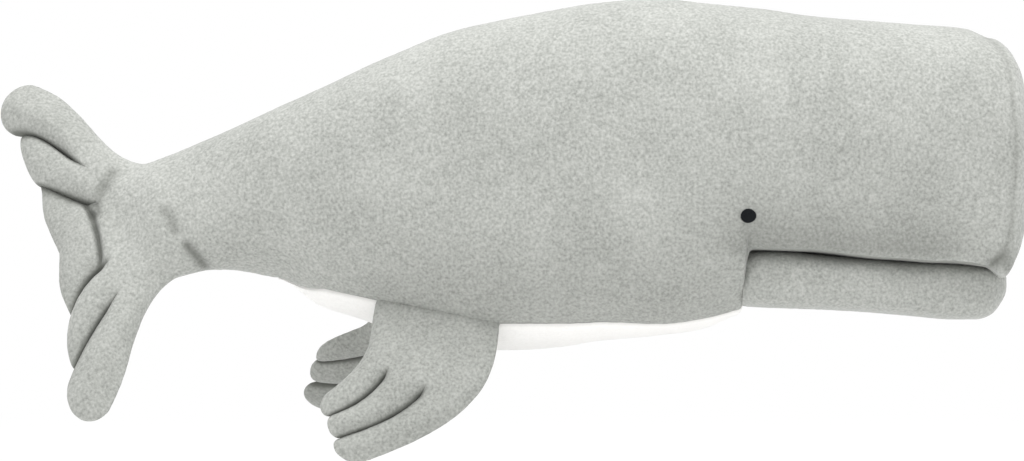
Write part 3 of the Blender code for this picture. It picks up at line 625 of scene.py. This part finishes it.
def sewn(name, grid, inside, material, shade=None, closed=False):
    """A mesh over a grid of points. Quad (i, j) joins points (i, j), (i+1, j), (i+1, j+1)
    and (i, j+1); closed grids join the last column to the first."""
    index = np.arange(grid.shape[0] * grid.shape[1]).reshape(grid.shape[:2])
    around = np.concatenate([index, index[:, :1]], axis=1) if closed else index
    corners = (around[:-1, :-1], around[1:, :-1], around[1:, 1:], around[:-1, 1:])
    quads = np.stack(corners, axis=-1).reshape(-1, 4)
    points = grid.reshape(-1, 3)
    one, two = points[quads[:, 2]] - points[quads[:, 0]], points[quads[:, 3]] - points[quads[:, 1]]
    looks = np.sum(np.cross(one, two) * (points[quads[:, 0]] - inside))
    quads = quads if looks > 0 else quads[:, ::-1]
    mesh = bpy.data.meshes.new(name)
    mesh.from_pydata(points.tolist(), [], quads.tolist())
    write_attribute(mesh, "pile", uneven(points, TUFTS))
    write_attribute(mesh, "shade", np.zeros(len(points)) if shade is None else shade)
    work = bmesh.new()
    work.from_mesh(mesh)
    bmesh.ops.remove_doubles(work, verts=work.verts, dist=SAME_POINT)
    work.to_mesh(mesh)
    work.free()
    mesh.shade_smooth()
    mesh.materials.append(material)
    piece = bpy.data.objects.new(name, mesh)
    bpy.context.scene.collection.objects.link(piece)
    print(f"{name}: {len(mesh.vertices)} points, {len(mesh.polygons)} faces")
    return piece


def raise_pile(piece, height):
    """Each point of a closed piece moves along its normal by its tuft's height."""
    mesh = piece.data
    points = np.empty(3 * len(mesh.vertices), np.float32)
    mesh.vertices.foreach_get("co", points)
    away = np.empty_like(points)
    mesh.vertex_normals.foreach_get("vector", away)
    points, away = points.reshape(-1, 3), away.reshape(-1, 3)
    points = points + away * (height * uneven(points.astype(float), TUFTS))[:, None]
    mesh.vertices.foreach_set("co", points.astype(np.float32).ravel())
    mesh.update()


# %% [markdown]
# ## Cutting the skin into its panels
# The side panels end a little before the tail's bend. They follow the body and turn
# smoothly into the tail stock before they end. One piece goes on from there and over the
# twist.

# %% Side panels
wrapped, wrapped_shade = (np.concatenate([grid, grid[:, :1]], 1) for grid in (skin, skin_shade))
for side, cut in (("right", slice(0, SEAM + 1)), ("left", slice(OTHER_SEAM, None))):
    panel, panel_shade = wrapped[: face_row + 1, cut], wrapped_shade[: face_row + 1, cut]
    flank = sewn(f"flank_{side}", panel, body_centre, grey, panel_shade)
    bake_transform(flank)
    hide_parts(f"side_panel_{side}")

# %% Belly, mouth lining and face gusset
cut_under = slice(SEAM, OTHER_SEAM + 1)
under = slice(belly_row, throat_row + 1)
belly = sewn("belly", skin[under, cut_under], body_centre, white, belly_shade[under, cut_under])
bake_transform(belly)
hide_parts("belly_panel", "body_filling")
mouth = slice(throat_row, face_row + 1)
roof_shade = belly_shade[mouth, cut_under]
roof = sewn("mouth_roof", skin[mouth, cut_under], body_centre, shaded_lining, roof_shade)
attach(roof, "body")
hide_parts("mouth_lining")
face = sewn("face", skin[face_row:], body_centre, grey, skin_shade[face_row:], closed=True)
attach(face, "body")
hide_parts("face_gusset")

# %% [markdown]
# ## The jaw
# The jaw is a flat stuffed bag of its own, sewn to the throat along its rear edge. Its
# section is a squarish oval: cosine and sine to the power 0.40, which fills the corners
# as stuffing does. Its rear end leans with the throat, and its front end is closed blunt.

# %% Jaw
JAW_LENGTH, JAW_HEIGHT, JAW_HALF_WIDTH = 157.5 * MM, 32.5 * MM, 50 * MM
JAW_ROUNDNESS, JAW_PAINTED_SHADE = 0.40, 0.10
MOUTH_SLIT, THROAT_OVERLAP = 2.5 * MM, 1.2 * MM
LIP_HEIGHT, THROAT_FOOT, THROAT_WALL = 0.290 * HEIGHT, 0.112 * HEIGHT, 0.145 * HEIGHT
# place along the jaw; its top, underside and half width as shares of its own sizes
JAW = (
    (0, 1.03, 0.035, 1.06), (0.03, 1.046, 0.01, 1.12), (0.08, 1.048, 0, 1.16),
    (0.3, 0.965, -0.04, 1.18), (0.48, 0.895, -0.09, 1.17), (0.64, 0.85, -0.155, 1.13),
    (0.78, 0.82, -0.215, 1.07), (0.88, 0.795, -0.22, 0.99), (0.93, 0.755, -0.14, 0.89),
    (0.965, 0.7, 0.05, 0.75), (0.988, 0.61, 0.24, 0.56), (1, 0.44, 0.44, 0),
)


def squarish(turn):
    """A squarish oval: sine and cosine to the power 0.40, each with its own sign."""
    circle = np.stack([np.sin(turn), np.cos(turn)], axis=-1)
    return np.sign(circle) * np.abs(circle) ** JAW_ROUNDNESS * (JAW_HALF_WIDTH, JAW_HEIGHT / 2)


wall_lean = 0.003 * LENGTH / THROAT_WALL
jaw_foot = LIP_HEIGHT - MOUTH_SLIT - JAW_HEIGHT
jaw_start = BACK + THROAT * LENGTH - THROAT_OVERLAP + (jaw_foot - THROAT_FOOT) * wall_lean
# rows stand closer at both ends
along = np.unique(np.concatenate([
    np.linspace(0, 0.08, 12), np.linspace(0.08, 0.88, 88), 1 - np.linspace(0.346, 0, 32) ** 2,
]))
top, low, wide = smooth_rows(JAW, along).T[:, :, None]
turns = even_turns(squarish, 0, 2 * math.pi, 181)[:-1]
oval = squarish(turns) / (JAW_HALF_WIDTH, JAW_HEIGHT / 2)
jaw_y = -wide * JAW_HALF_WIDTH * oval[None, :, 0]
jaw_z = JAW_HEIGHT * ((top + low) / 2 + (top - low) / 2 * oval[None, :, 1])
jaw_x = along[:, None] * JAW_LENGTH + wall_lean * jaw_z * ((1 - along) ** 4)[:, None]
jaw_grid = np.stack([jaw_x, jaw_y, jaw_z], axis=-1) + (jaw_start, 0, jaw_foot)
rear = np.broadcast_to(jaw_grid[0].mean(axis=0), jaw_grid[0].shape)
jaw_middle = jaw_grid.mean(axis=(0, 1))
round_ends = smoothstep(along, 0.90, 0.97)[:, None] * 0.5 * (along < 1)[:, None]
jaw_grid = softened(jaw_grid, round_ends * np.ones(len(turns)), 5)
away = grid_normals(jaw_grid, jaw_middle)
free = smoothstep(along, 0.02, 0.10)[:, None]
jaw_grid = jaw_grid + away * (LUMP * 0.8 * uneven(jaw_grid, FULLNESS) * free)[..., None]
jaw_grid = np.concatenate([rear[None], jaw_grid])
# painted shade: the jaw under the head is darkened evenly
jaw_shade = np.full(jaw_grid.shape[:2], JAW_PAINTED_SHADE)
jaw = sewn("jaw", jaw_grid, jaw_middle, grey, jaw_shade, closed=True)
raise_pile(jaw, PILE)
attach(jaw, "jaw")
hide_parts("jaw_upper_panel", "jaw_under_panel", "jaw_filling")

# %% [markdown]
# ## Stitched pouches
# The fins and the flukes are flat pouches: two skins, sewn round the rim and then quilted
# by two lines of stitching into three fingers. In the plane of the pouch the outline is a
# table of control points, read across the fingers and along them. Off the plane the half
# thickness is a product: the filling's swell along the pouch, a round end at the rim, and
# a wave across it that falls to the stitching between two fingers.

# %% Pouch helpers
def along_points(points, v):
    """The cubic through four points at v 0, 1/3, 2/3 and 1, by Lagrange's formula."""
    knots = (0, 1 / 3, 2 / 3, 1)
    total = 0
    for i, knot in enumerate(knots):
        others = [other for j, other in enumerate(knots) if j != i]
        weight = np.prod([(v - other) / (knot - other) for other in others], axis=0)
        total = total + weight[:, None, None] * points[i]
    return total


def finger_columns(count):
    """Columns across three fingers, closer together at each line of stitching."""
    step = (1 - np.cos(np.linspace(0, math.pi, count + 1))) / 2
    return np.concatenate([(k + step[:-1]) / 3 for k in range(3)] + [[1.0]])


def pouch_lines(table, u, v, fingers=3):
    """The lines of a pouch in its plane. The rim runs straight between the ends of the
    stitching, and each finger adds half an ellipse to it, which fades in as v to the
    fourth power: the root of one less the square of the place across the finger."""
    table = np.array(table, float) * MM
    across = np.linspace(0, 1, len(table))[:, None]
    flat = np.concatenate([across, table.reshape(len(table), -1)], axis=1)
    points = smooth_rows(flat, u).reshape(len(u), -1, 2).swapaxes(0, 1)
    number = np.clip(np.floor(u * 3), 0, 2).astype(int)
    at = u * 3 - number
    first, last, tip = (table[2 * number + k, 3] for k in (0, 2, 1))
    chord = first + (last - first) * at[:, None]
    finger = number < fingers
    points[3] = np.where(finger[:, None], chord, points[3])
    round_end = np.sqrt(np.clip(1 - (2 * at - 1) ** 2, 0, 1)) * finger
    bulge = (tip - (first + last) / 2) * round_end[:, None]
    return along_points(points, v) + bulge * (v**4)[:, None, None]


def quilted(wave, stitched, deep):
    """The share of the thickness that stitching leaves: one less its depth on the line,
    which falls away as the wave across the fingers to the power 0.45."""
    return 1 - deep * (1 - wave**0.45) * stitched


def stitch_shade(u, wave, stitched):
    """Painted shade along the two lines of stitching, and not along the rim."""
    return bell(wave, 0.22) * stitched * (u > 0.1) * (u < 0.9)


# %% [markdown]
# ## The fins
# Each fin hangs from the belly seam on its own side. The palm is smooth, and two short
# creases part three rounded fingers that point back. The near fin hangs almost straight
# down and the far fin stands further out, so its fingers show behind the near one.

# %% Fin shape
# Columns from the rear edge to the leading edge; each gives four points from the root to
# the rim, in millimetres along the root and outwards from it
NEAR_FIN = (
    ((-36.5, -5), (-34.5, 14), (-35.5, 31), (-49, 55)),
    ((-24.5, -4.5), (-26.5, 20), (-31.5, 41), (-51.5, 66)),
    ((-12.5, -4), (-15, 27), (-24.5, 52), (-43.5, 69)),
    ((0, -4), (-4.5, 30), (-16, 58.5), (-43.8, 77.5)),
    ((12.5, -4.5), (10, 32), (-4, 59.5), (-35.5, 82)),
    ((25, -5), (24.5, 34), (9, 65), (-34.5, 92)),
    ((38, -5.5), (40, 25), (25.5, 57), (-19, 94)),
)
FAR_FIN = (
    ((-36.5, -5), (-36, 10), (-45, 23), (-57, 39)),
    ((-24.5, -4.5), (-30, 18), (-43, 33), (-61, 49.5)),
    ((-12.5, -4), (-20, 26), (-37, 43), (-57.5, 56.5)),
    ((0, -4), (-10, 31), (-29, 53), (-61, 68)),
    ((12.5, -4.5), (4, 34), (-18, 60), (-54, 76.5)),
    ((25, -5), (17, 37), (-6, 70), (-56.5, 96)),
    ((38, -5.5), (36, 27), (14, 67), (-33, 100.5)),
)
# place from the root to the rim, and the half thickness there in millimetres
FIN_SWELL = ((0, 4.5), (0.18, 7.0), (0.42, 9.0), (0.8, 8.6), (1, 8.2))
FIN_ROOT, FIN_STITCH, FIN_PAINTED_SHADE = 4.5 * MM, 0.43, 0.17
# middle and direction of the seam at the root of a fin
FIN_PLACE, FIN_LINE = np.array([-50.244, 37.667, 16.091]) * MM, (0.966594, 0.180658, -0.181822)


def fin_grid(table, side, flap):
    """Both faces of a fin as one closed grid, from a round root to the rim, where the
    swell ends as the root of one less the ninth power of v."""
    u = finger_columns(24)
    wave = np.abs(np.sin(3 * math.pi * u))
    v = np.sin(np.linspace(0, math.pi / 2, 78))
    lines = pouch_lines(table, u, v)
    swell = smooth_rows(np.array(FIN_SWELL) * (1, MM), v) * np.sqrt(1 - v**9)[:, None]
    edge = np.sin(math.pi * u) ** 0.5
    stitched = smoothstep(v, FIN_STITCH, FIN_STITCH + 0.10)[:, None]
    high = swell * edge * quilted(wave, stitched, 0.86)
    # painted shade: the stitching's shade, and an even shade over the fin, which hangs under the
    # body
    shade = np.clip(stitch_shade(u, wave, stitched) + FIN_PAINTED_SHADE, 0, 1)
    nose = np.linspace(math.pi / 2, 0, 6)[:-1]
    back = lines[0] - np.array([0, 1]) * (FIN_ROOT * np.sin(nose))[:, None, None]
    lines = np.concatenate([back, lines])
    high = np.concatenate([FIN_ROOT * np.cos(nose)[:, None] * edge, high])
    shade = np.concatenate([np.full((5, len(u)), FIN_PAINTED_SHADE), shade])
    high[:, [0, -1]] = 0
    place, line = FIN_PLACE * (1, -side, 1), np.array(FIN_LINE) * (1, -side, 1)
    out = np.array([0, -side * math.sin(flap), -math.cos(flap)])
    out -= line * (out @ line)
    out /= np.linalg.norm(out)
    off = np.cross(line, out)
    flat = place + lines[..., :1] * line + lines[..., 1:] * out
    faces = [flat + high[..., None] * off, (flat - high[..., None] * off)[:, -2:0:-1]]
    return np.concatenate(faces, axis=1), np.concatenate([shade, shade[:, -2:0:-1]], axis=1), flat


# %% Fins
for side, sign, flap, table in (("right", 1, 25, NEAR_FIN), ("left", -1, 50, FAR_FIN)):
    grid, shade, flat = fin_grid(table, sign, math.radians(flap))
    middle = flat.mean(axis=(0, 1))
    fin = sewn(f"fin_{side}", grid, middle, grey, shade, closed=True)
    raise_pile(fin, PILE)
    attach(fin, f"fin_{side}")
    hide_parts(*(f"fin_{side}_{part}" for part in ("outer_panel", "inner_panel", "filling")))

# %% [markdown]
# ## The tail end and the flukes
# Behind the twist the skin flattens into two lobes. Each lobe has three channels, and the
# two inner channels meet in one leaf-shaped channel on the middle line. Both lobes and both
# faces are one closed grid that goes on from the loft's ellipse, so the tail has no step.
# The near lobe is longer and swept back further than the far one, as the toy was posed.

# %% Fluke tables
# Columns from the leading edge to the middle line; each gives four points from the ring
# to the rim, in millimetres along the tail and outwards
FAR_LOBE = (
    ((-5, 37.5), (-26, 58.5), (-38.5, 87.5), (-60, 115)),
    ((-5, 36.2), (-33, 51.5), (-53, 80.5), (-81.5, 105)),
    ((-5, 32.5), (-34.5, 37), (-54.5, 65), (-73.5, 83)),
    ((-5, 26.5), (-31, 25), (-51, 45), (-76.5, 64.7)),
    ((-5, 18.8), (-29, 13.5), (-51.5, 27.5), (-71, 47.5)),
    ((-5, 9.7), (-27, 9), (-50, 13.5), (-74, 26)),
    ((-5, 0), (-27, 0), (-49.5, 0), (-71.2, 0)),
)
NEAR_LOBE = (
    ((-5, 37.5), (-31.5, 53), (-48.5, 79.5), (-69.5, 109.5)),
    ((-5, 36.2), (-36.5, 46.5), (-60, 74), (-89, 102)),
    ((-5, 32.5), (-33.5, 36.5), (-58.5, 53.5), (-80, 76.3)),
    ((-5, 26.5), (-31, 27.5), (-56, 39), (-81.5, 60.5)),
    ((-5, 18.8), (-29, 17.5), (-53.5, 23), (-74.5, 44.5)),
    ((-5, 9.7), (-28, 9), (-51, 12.5), (-76.5, 24.5)),
    ((-5, 0), (-27, 0), (-49.5, 0), (-71.2, 0)),
)
# place from the ring to the rim, and the half thickness there
THICKNESS = (
    (0, 23), (0.12, 20.5), (0.28, 14.8), (0.42, 11), (0.56, 11.2), (0.78, 10.6), (1, 9.5),
)
LEAF_CREASE, FLUKE_PAINTED_SHADE = 0.615, 0.13

# %% Fluke grid
u = finger_columns(22)
wave = np.where(u < 2 / 3, np.abs(np.sin(3 * math.pi * u)), np.sin(1.5 * math.pi * (u - 2 / 3)))
wave = np.clip(wave, 0, 1)
v = np.sin(np.linspace(0, math.pi / 2, 92))
thick = smooth_rows(np.array(THICKNESS) * (1, MM), v) * np.sqrt(1 - v**7)[:, None]
lens_edge = np.sin(math.pi / 2 * u)
tube_edge = np.sqrt(1 - np.clip(1 - 6 * u, 0, 1) ** 2)
into_lobe = smoothstep(v, 0.05, 0.55)[:, None]
edge = lens_edge + (tube_edge - lens_edge) * into_lobe
stitched = smoothstep(v[:, None], 0.40 + 0.10 * smoothstep(u, 0.45, 0.7), 0.62)
inner = smoothstep(u, 0.62, 0.78)
leaf = bell(v[:, None] - LEAF_CREASE, 0.024) * inner
high = thick * edge * quilted(wave, stitched, 0.82) * (1 - 0.48 * leaf)
# painted shade along the stitching and in the leaf crease, and an even painted shade growing into
# the lobes
lobe_shade = stitch_shade(u, wave, stitched) + 0.8 * leaf
lobe_shade = np.clip(lobe_shade + FLUKE_PAINTED_SHADE * smoothstep(v, 0.1, 0.6)[:, None], 0, 1)

# %% Both lobes and both faces in one ring
quarters = []
for table, sign in ((FAR_LOBE, 1), (NEAR_LOBE, -1)):
    lines = pouch_lines(table, u, v, fingers=2)
    for off in (1, -1):
        quarters.append(in_tail(lines[..., 0], lines[..., 1] * sign, high * off))
far_top, far_low, near_top, near_low = quarters
flukes = [far_top, near_top[:, -2::-1], near_low[:, 1:], far_low[:, -2:0:-1]]
flukes = np.concatenate(flukes, axis=1)
ring_u = np.concatenate([u, u[-2::-1], u[1:], u[-2:0:-1]])
quarter = np.repeat([0, 1, 2, 3], [len(u), len(u) - 1, len(u) - 1, len(u) - 2])
psi = math.pi / 2 * np.choose(quarter, [ring_u, 2 - ring_u, 2 + ring_u, 4 - ring_u])
there, back = np.arange(len(u)), np.arange(len(u) - 2, -1, -1)
fluke_shade = lobe_shade[:, np.concatenate([there, back] * 2)]
fluke_shade = np.delete(fluke_shade, [2 * len(u) - 1, -1], axis=1)
print("fluke grid", flukes.shape, fluke_shade.shape)

# %% Folds of the tail
# each fold as a line on the side view, its half width, its depth and its painted shade
DIMPLE = ((-208, 80.5), (-205, 76), (-202.5, 69)), 3.4 * MM, 1.8 * MM, 0.45
LOW_CREASE = ((-195, 61), (-189, 54), (-184.5, 48)), 2.9 * MM, 1.6 * MM, 0.8
ROOT_FOLD = ((-241, 104), (-247, 95), (-249.5, 88), (-250, 80)), 3.4 * MM, 1.5 * MM, 0.5
stock_end = loft(np.linspace(STOCK_PART, 1, STOCK_ROWS), psi - turn_of_span)
tail = np.concatenate([stock_end[:-1], flukes])
tail_shade = np.concatenate([np.zeros((STOCK_ROWS - 1, len(psi))), fluke_shade])
tail_rows = np.arange(len(tail))[:, None] * np.ones(len(psi))
armpit = bell(tail_rows - STOCK_ROWS - 1, 7.0) * 0.8
tail = softened(tail, armpit * (tail_rows > 0), 16)
away = grid_normals(tail, root_middle)
camera_side = smoothstep(-tail[..., 1], -4 * MM, 4 * MM) * smoothstep(-away[..., 1], -0.3, 0.3)
facing_camera = smoothstep(-away[..., 1], 0, 0.4)
calm = 1 - smoothstep(tail_rows, len(tail) - 12, len(tail) - 2)
rise = LUMP * uneven(tail, FULLNESS) * calm
for fold, side in ((DIMPLE, camera_side), (LOW_CREASE, camera_side), (ROOT_FOLD, facing_camera)):
    line, width, depth, tone = fold
    crease = drawn_line(tail, line, width) * side
    rise -= depth * crease
    # painted shade in each fold
    tail_shade += tone * crease
tail = tail + away * rise[..., None]
tail_shade = np.clip(tail_shade, 0, 1)
print("deepest fold", round(float(-rise.min() / MM), 2), "mm")

# %% Tail end
CUT_AT, TWIST_START, TWIST_STOP = 0.17, 25, 15.5
CUT = STOCK_ROWS - 1 + int(np.searchsorted(v, CUT_AT))
end = sewn("tail_end", tail[: CUT + 1], root_middle, grey, tail_shade[: CUT + 1], closed=True)
raise_pile(end, PILE)
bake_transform(end)
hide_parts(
    "fluke_root_cover", "fluke_root_filling",
    *(f"tail_stock_{part}" for part in ("panel_right", "panel_left", "filling")),
)

# %% The two lobes
CREASE_LEAN, CREASE_START, CREASE_STOP = 0.3, 48, 82
n = len(u)
near_columns = np.arange(n - 1, 3 * n - 2)
far_columns = np.concatenate([np.arange(3 * n - 3, len(psi)), np.arange(0, n)])
for side, sign, columns_of in (("right", -1, near_columns), ("left", 1, far_columns)):
    grid, shade = tail[CUT:][:, columns_of], tail_shade[CUT:][:, columns_of]
    lobe = sewn(f"fluke_{side}", grid, root_middle - 20 * MM * forwards, grey, shade)
    raise_pile(lobe, PILE)
    way = (-CREASE_LEAN * forwards + sign * span) / math.hypot(CREASE_LEAN, 1)
    start, stop = (root_middle + way * far * MM for far in (CREASE_START, CREASE_STOP))
    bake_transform(lobe)
    parts = ("upper_panel", "under_panel", "filling")
    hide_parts(*(f"fluke_{side}_{part}" for part in parts))

# %% [markdown]
# ## The eyes
# Each eye is embroidered in satin stitch: parallel threads laid side by side over a disc.
# A black dome would look like a bead. So each thread is its own thin tube, bowed over the
# disc, and a shallow dome fills the gaps between the threads.

# %% Eye thread
THREAD_DARK, THREAD_LIGHT = (0.004, 0.005, 0.006, 1), (0.014, 0.016, 0.018, 1)
thread = Finish("black_eye_thread", Roughness=0.75)
thread.put(thread.shader.inputs["Specular IOR Level"], 0.12)
twist = thread.noise(2600, 2.0) - 0.5
tone = thread.clipped(0.5 + twist * 2)
thread.put(thread.shader.inputs["Base Color"], thread.between(tone, THREAD_DARK, THREAD_LIGHT))
sockets = {"Strength": 0.4, "Distance": 0.1 * MM, "Height": twist}
thread.put(thread.shader.inputs["Normal"], thread.node("ShaderNodeBump", {}, sockets, "Normal"))

# %% Place of the right eye
EYE_WIDE, EYE_HIGH, EYE_RISE = 4.45 * MM, 4.2 * MM, 1.1 * MM
EYE_CENTRE = np.array([131.4, 78.5]) * MM
flank_points = smooth_skin[:face_row, : SEAM + 1].reshape(-1, 3)
from_eye = np.linalg.norm(flank_points[:, [0, 2]] - EYE_CENTRE, axis=1)
under_eye = flank_points[from_eye < EYE_WIDE * 1.1]
spread = under_eye - under_eye.mean(axis=0)
eye_normal = np.linalg.svd(spread)[2][-1]
eye_normal *= -np.sign(eye_normal[1])
highest = (spread @ eye_normal).max()
eye_place = flank_points[np.argmin(from_eye)]
eye_place = eye_place + eye_normal * (highest - (eye_place - under_eye.mean(axis=0)) @ eye_normal)
eye_side = np.cross((0, 0, 1), eye_normal)
eye_side /= np.linalg.norm(eye_side)
eye_up = np.cross(eye_normal, eye_side)
print("eye at", np.round(eye_place / MM, 1), "facing", np.round(eye_normal, 2))

# %% Threads and dome
THREADS, STEPS, ROUND, DOME_RINGS, DOME_COLUMNS = 17, 25, 8, 12, 40
THREAD_RADIUS, THREAD_SINK, EYE_BACK = 0.36 * MM, 0.96, 0.25 * MM


def dome(across, along):
    """Height over the eye's plane: the rise times the root of one less the squares."""
    inside = np.clip(1 - across**2 - along**2, 0, 1)
    return EYE_RISE * np.sqrt(inside)


def eye_points(flip):
    """Threads as tubes over the dome, then the dome itself, in one list of grids. A
    thread's radius ends as the root of one less the tenth power of its place."""
    at = (np.arange(THREADS) + 0.5) / THREADS * 2 - 1
    reach = np.sqrt(1 - at**2)
    s = np.sin(np.linspace(-math.pi / 2, math.pi / 2, STEPS))
    centre_x = at[:, None] + 0 * s
    centre_y = reach[:, None] * s
    height = dome(centre_x * THREAD_SINK, centre_y * THREAD_SINK)
    radius = THREAD_RADIUS * np.sqrt(np.clip(1 - s**10, 0, 1))
    turn = np.linspace(0, 2 * math.pi, ROUND, endpoint=False)
    x = centre_x[..., None] * EYE_WIDE + radius[None, :, None] * np.cos(turn)
    z = height[..., None] + radius[None, :, None] * np.sin(turn)
    y = centre_y[..., None] * EYE_HIGH + 0 * x
    tubes = np.stack([x, y, z], axis=-1)
    r = np.linspace(0, 1, DOME_RINGS)[:, None]
    turn = np.linspace(0, 2 * math.pi, DOME_COLUMNS, endpoint=False)
    bowl_x, bowl_y = r * np.cos(turn), r * np.sin(turn)
    bowl = np.stack([bowl_x * EYE_WIDE, bowl_y * EYE_HIGH, dome(bowl_x, bowl_y)], axis=-1)
    flat = bowl[::-1] * (1, 1, 0) - (0, 0, EYE_BACK)
    bowl = np.concatenate([bowl, flat])
    axes = np.array([eye_side, eye_up, eye_normal])
    return [eye_place * flip + (part @ axes) * flip for part in [*tubes, bowl]]


# %% Eyes
for side, flip in (("right", np.array([1, 1, 1])), ("left", np.array([1, -1, 1]))):
    parts = []
    for number, grid in enumerate(eye_points(flip)):
        middle = grid.reshape(-1, 3).mean(axis=0)
        parts.append(sewn(f"thread_{side}_{number}", grid, middle, thread.material, closed=True))
    with bpy.context.temp_override(active_object=parts[-1], selected_editable_objects=parts):
        bpy.ops.object.join()
    eye = parts[-1]
    eye.name = f"embroidered_eye_{side}"
    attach(eye, "body")
    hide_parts(f"eye_{side}")

# %% [markdown]
# ## Floor, light and picture settings
# The photograph has a white ground and a soft light from above. The floor is plain, and it
# lies 15 mm under the lowest point, so the fins clear it when they swing down. To the
# camera it is nearly white, by a share of emission that only camera rays see, and the rest
# of it is a pale diffuse floor that keeps the shadow. The world is white to camera, glossy
# and transmission rays and a paler dome to all others, and a large soft lamp stands above.

# %% Floor
FIN_SWING, NEAR_GLOW = 15 * MM, 0.84
ground = Finish("pale_floor", Roughness=0.9)
ground.put(ground.shader.inputs["Base Color"], (0.95, 0.95, 0.95, 1))
rays = ground.tree.nodes.new("ShaderNodeLightPath")
glow = ground.node("ShaderNodeEmission", {}, {"Color": (1, 1, 1, 1), "Strength": 1.0})
camera_ray = Number(ground, rays.outputs["Is Camera Ray"])
distance_out = ground.node(
    "ShaderNodeVectorMath", {"operation": "LENGTH"}, {0: ground.place()}, "Value"
)
far_off = ground.clipped(distance_out * 1.2 - 0.6)
factor = camera_ray * (NEAR_GLOW + far_off * (1 - NEAR_GLOW))
plain = Number(ground, ground.shader.outputs[0])
mixed = ground.node("ShaderNodeMixShader", {}, {0: factor, 1: plain, 2: glow})
output = ground.tree.nodes["Material Output"]
ground.tree.links.new(mixed.socket, output.inputs["Surface"])
low_point = cad_box[0][2] - FIN_SWING
x, y = np.meshgrid(np.linspace(-12, 12, 5), np.linspace(-5, 19, 5), indexing="ij")
floor_grid = np.stack([x, y, np.full_like(x, low_point)], axis=-1)
floor = sewn("floor", floor_grid, np.array([0, 0, -9.0]), ground.material)

# %% World
DOME_LIGHT = 0.72
world = bpy.data.worlds.new("white_dome")
bpy.context.scene.world = world
world.use_nodes = True
nodes, links = world.node_tree.nodes, world.node_tree.links
nodes.clear()
path = nodes.new("ShaderNodeLightPath")
seen, lit = nodes.new("ShaderNodeBackground"), nodes.new("ShaderNodeBackground")
for background, strength in ((seen, 1.0), (lit, DOME_LIGHT)):
    background.inputs["Color"].default_value = (1, 1, 1, 1)
    background.inputs["Strength"].default_value = strength
mix, out = nodes.new("ShaderNodeMixShader"), nodes.new("ShaderNodeOutputWorld")
seen_rays = "Is Camera Ray", "Is Glossy Ray", "Is Transmission Ray"
total = path.outputs[seen_rays[0]]
for ray in seen_rays[1:]:
    either = nodes.new("ShaderNodeMath")
    either.operation = "MAXIMUM"
    links.new(total, either.inputs[0])
    links.new(path.outputs[ray], either.inputs[1])
    total = either.outputs[0]
for socket, source in zip(mix.inputs, (total, lit.outputs[0], seen.outputs[0])):
    links.new(source, socket)
links.new(mix.outputs[0], out.inputs[0])

# %% Lamp
LAMP_POWER, LAMP_WIDTH, LAMP_DEPTH = 39, 2.4, 1.6
LAMP_PLACE, LAMP_TILT = (0.15, -0.45, 1.9), math.radians(14)
lamp_data = bpy.data.lights.new("soft_box", "AREA")
lamp_data.shape = "RECTANGLE"
lamp_data.size, lamp_data.size_y = LAMP_WIDTH, LAMP_DEPTH
lamp_data.energy = LAMP_POWER
lamp = bpy.data.objects.new("soft_box", lamp_data)
bpy.context.scene.collection.objects.link(lamp)
lamp.location = LAMP_PLACE
lamp.rotation_euler = (LAMP_TILT, 0, 0)
bpy.context.scene.view_settings.view_transform = "Standard"
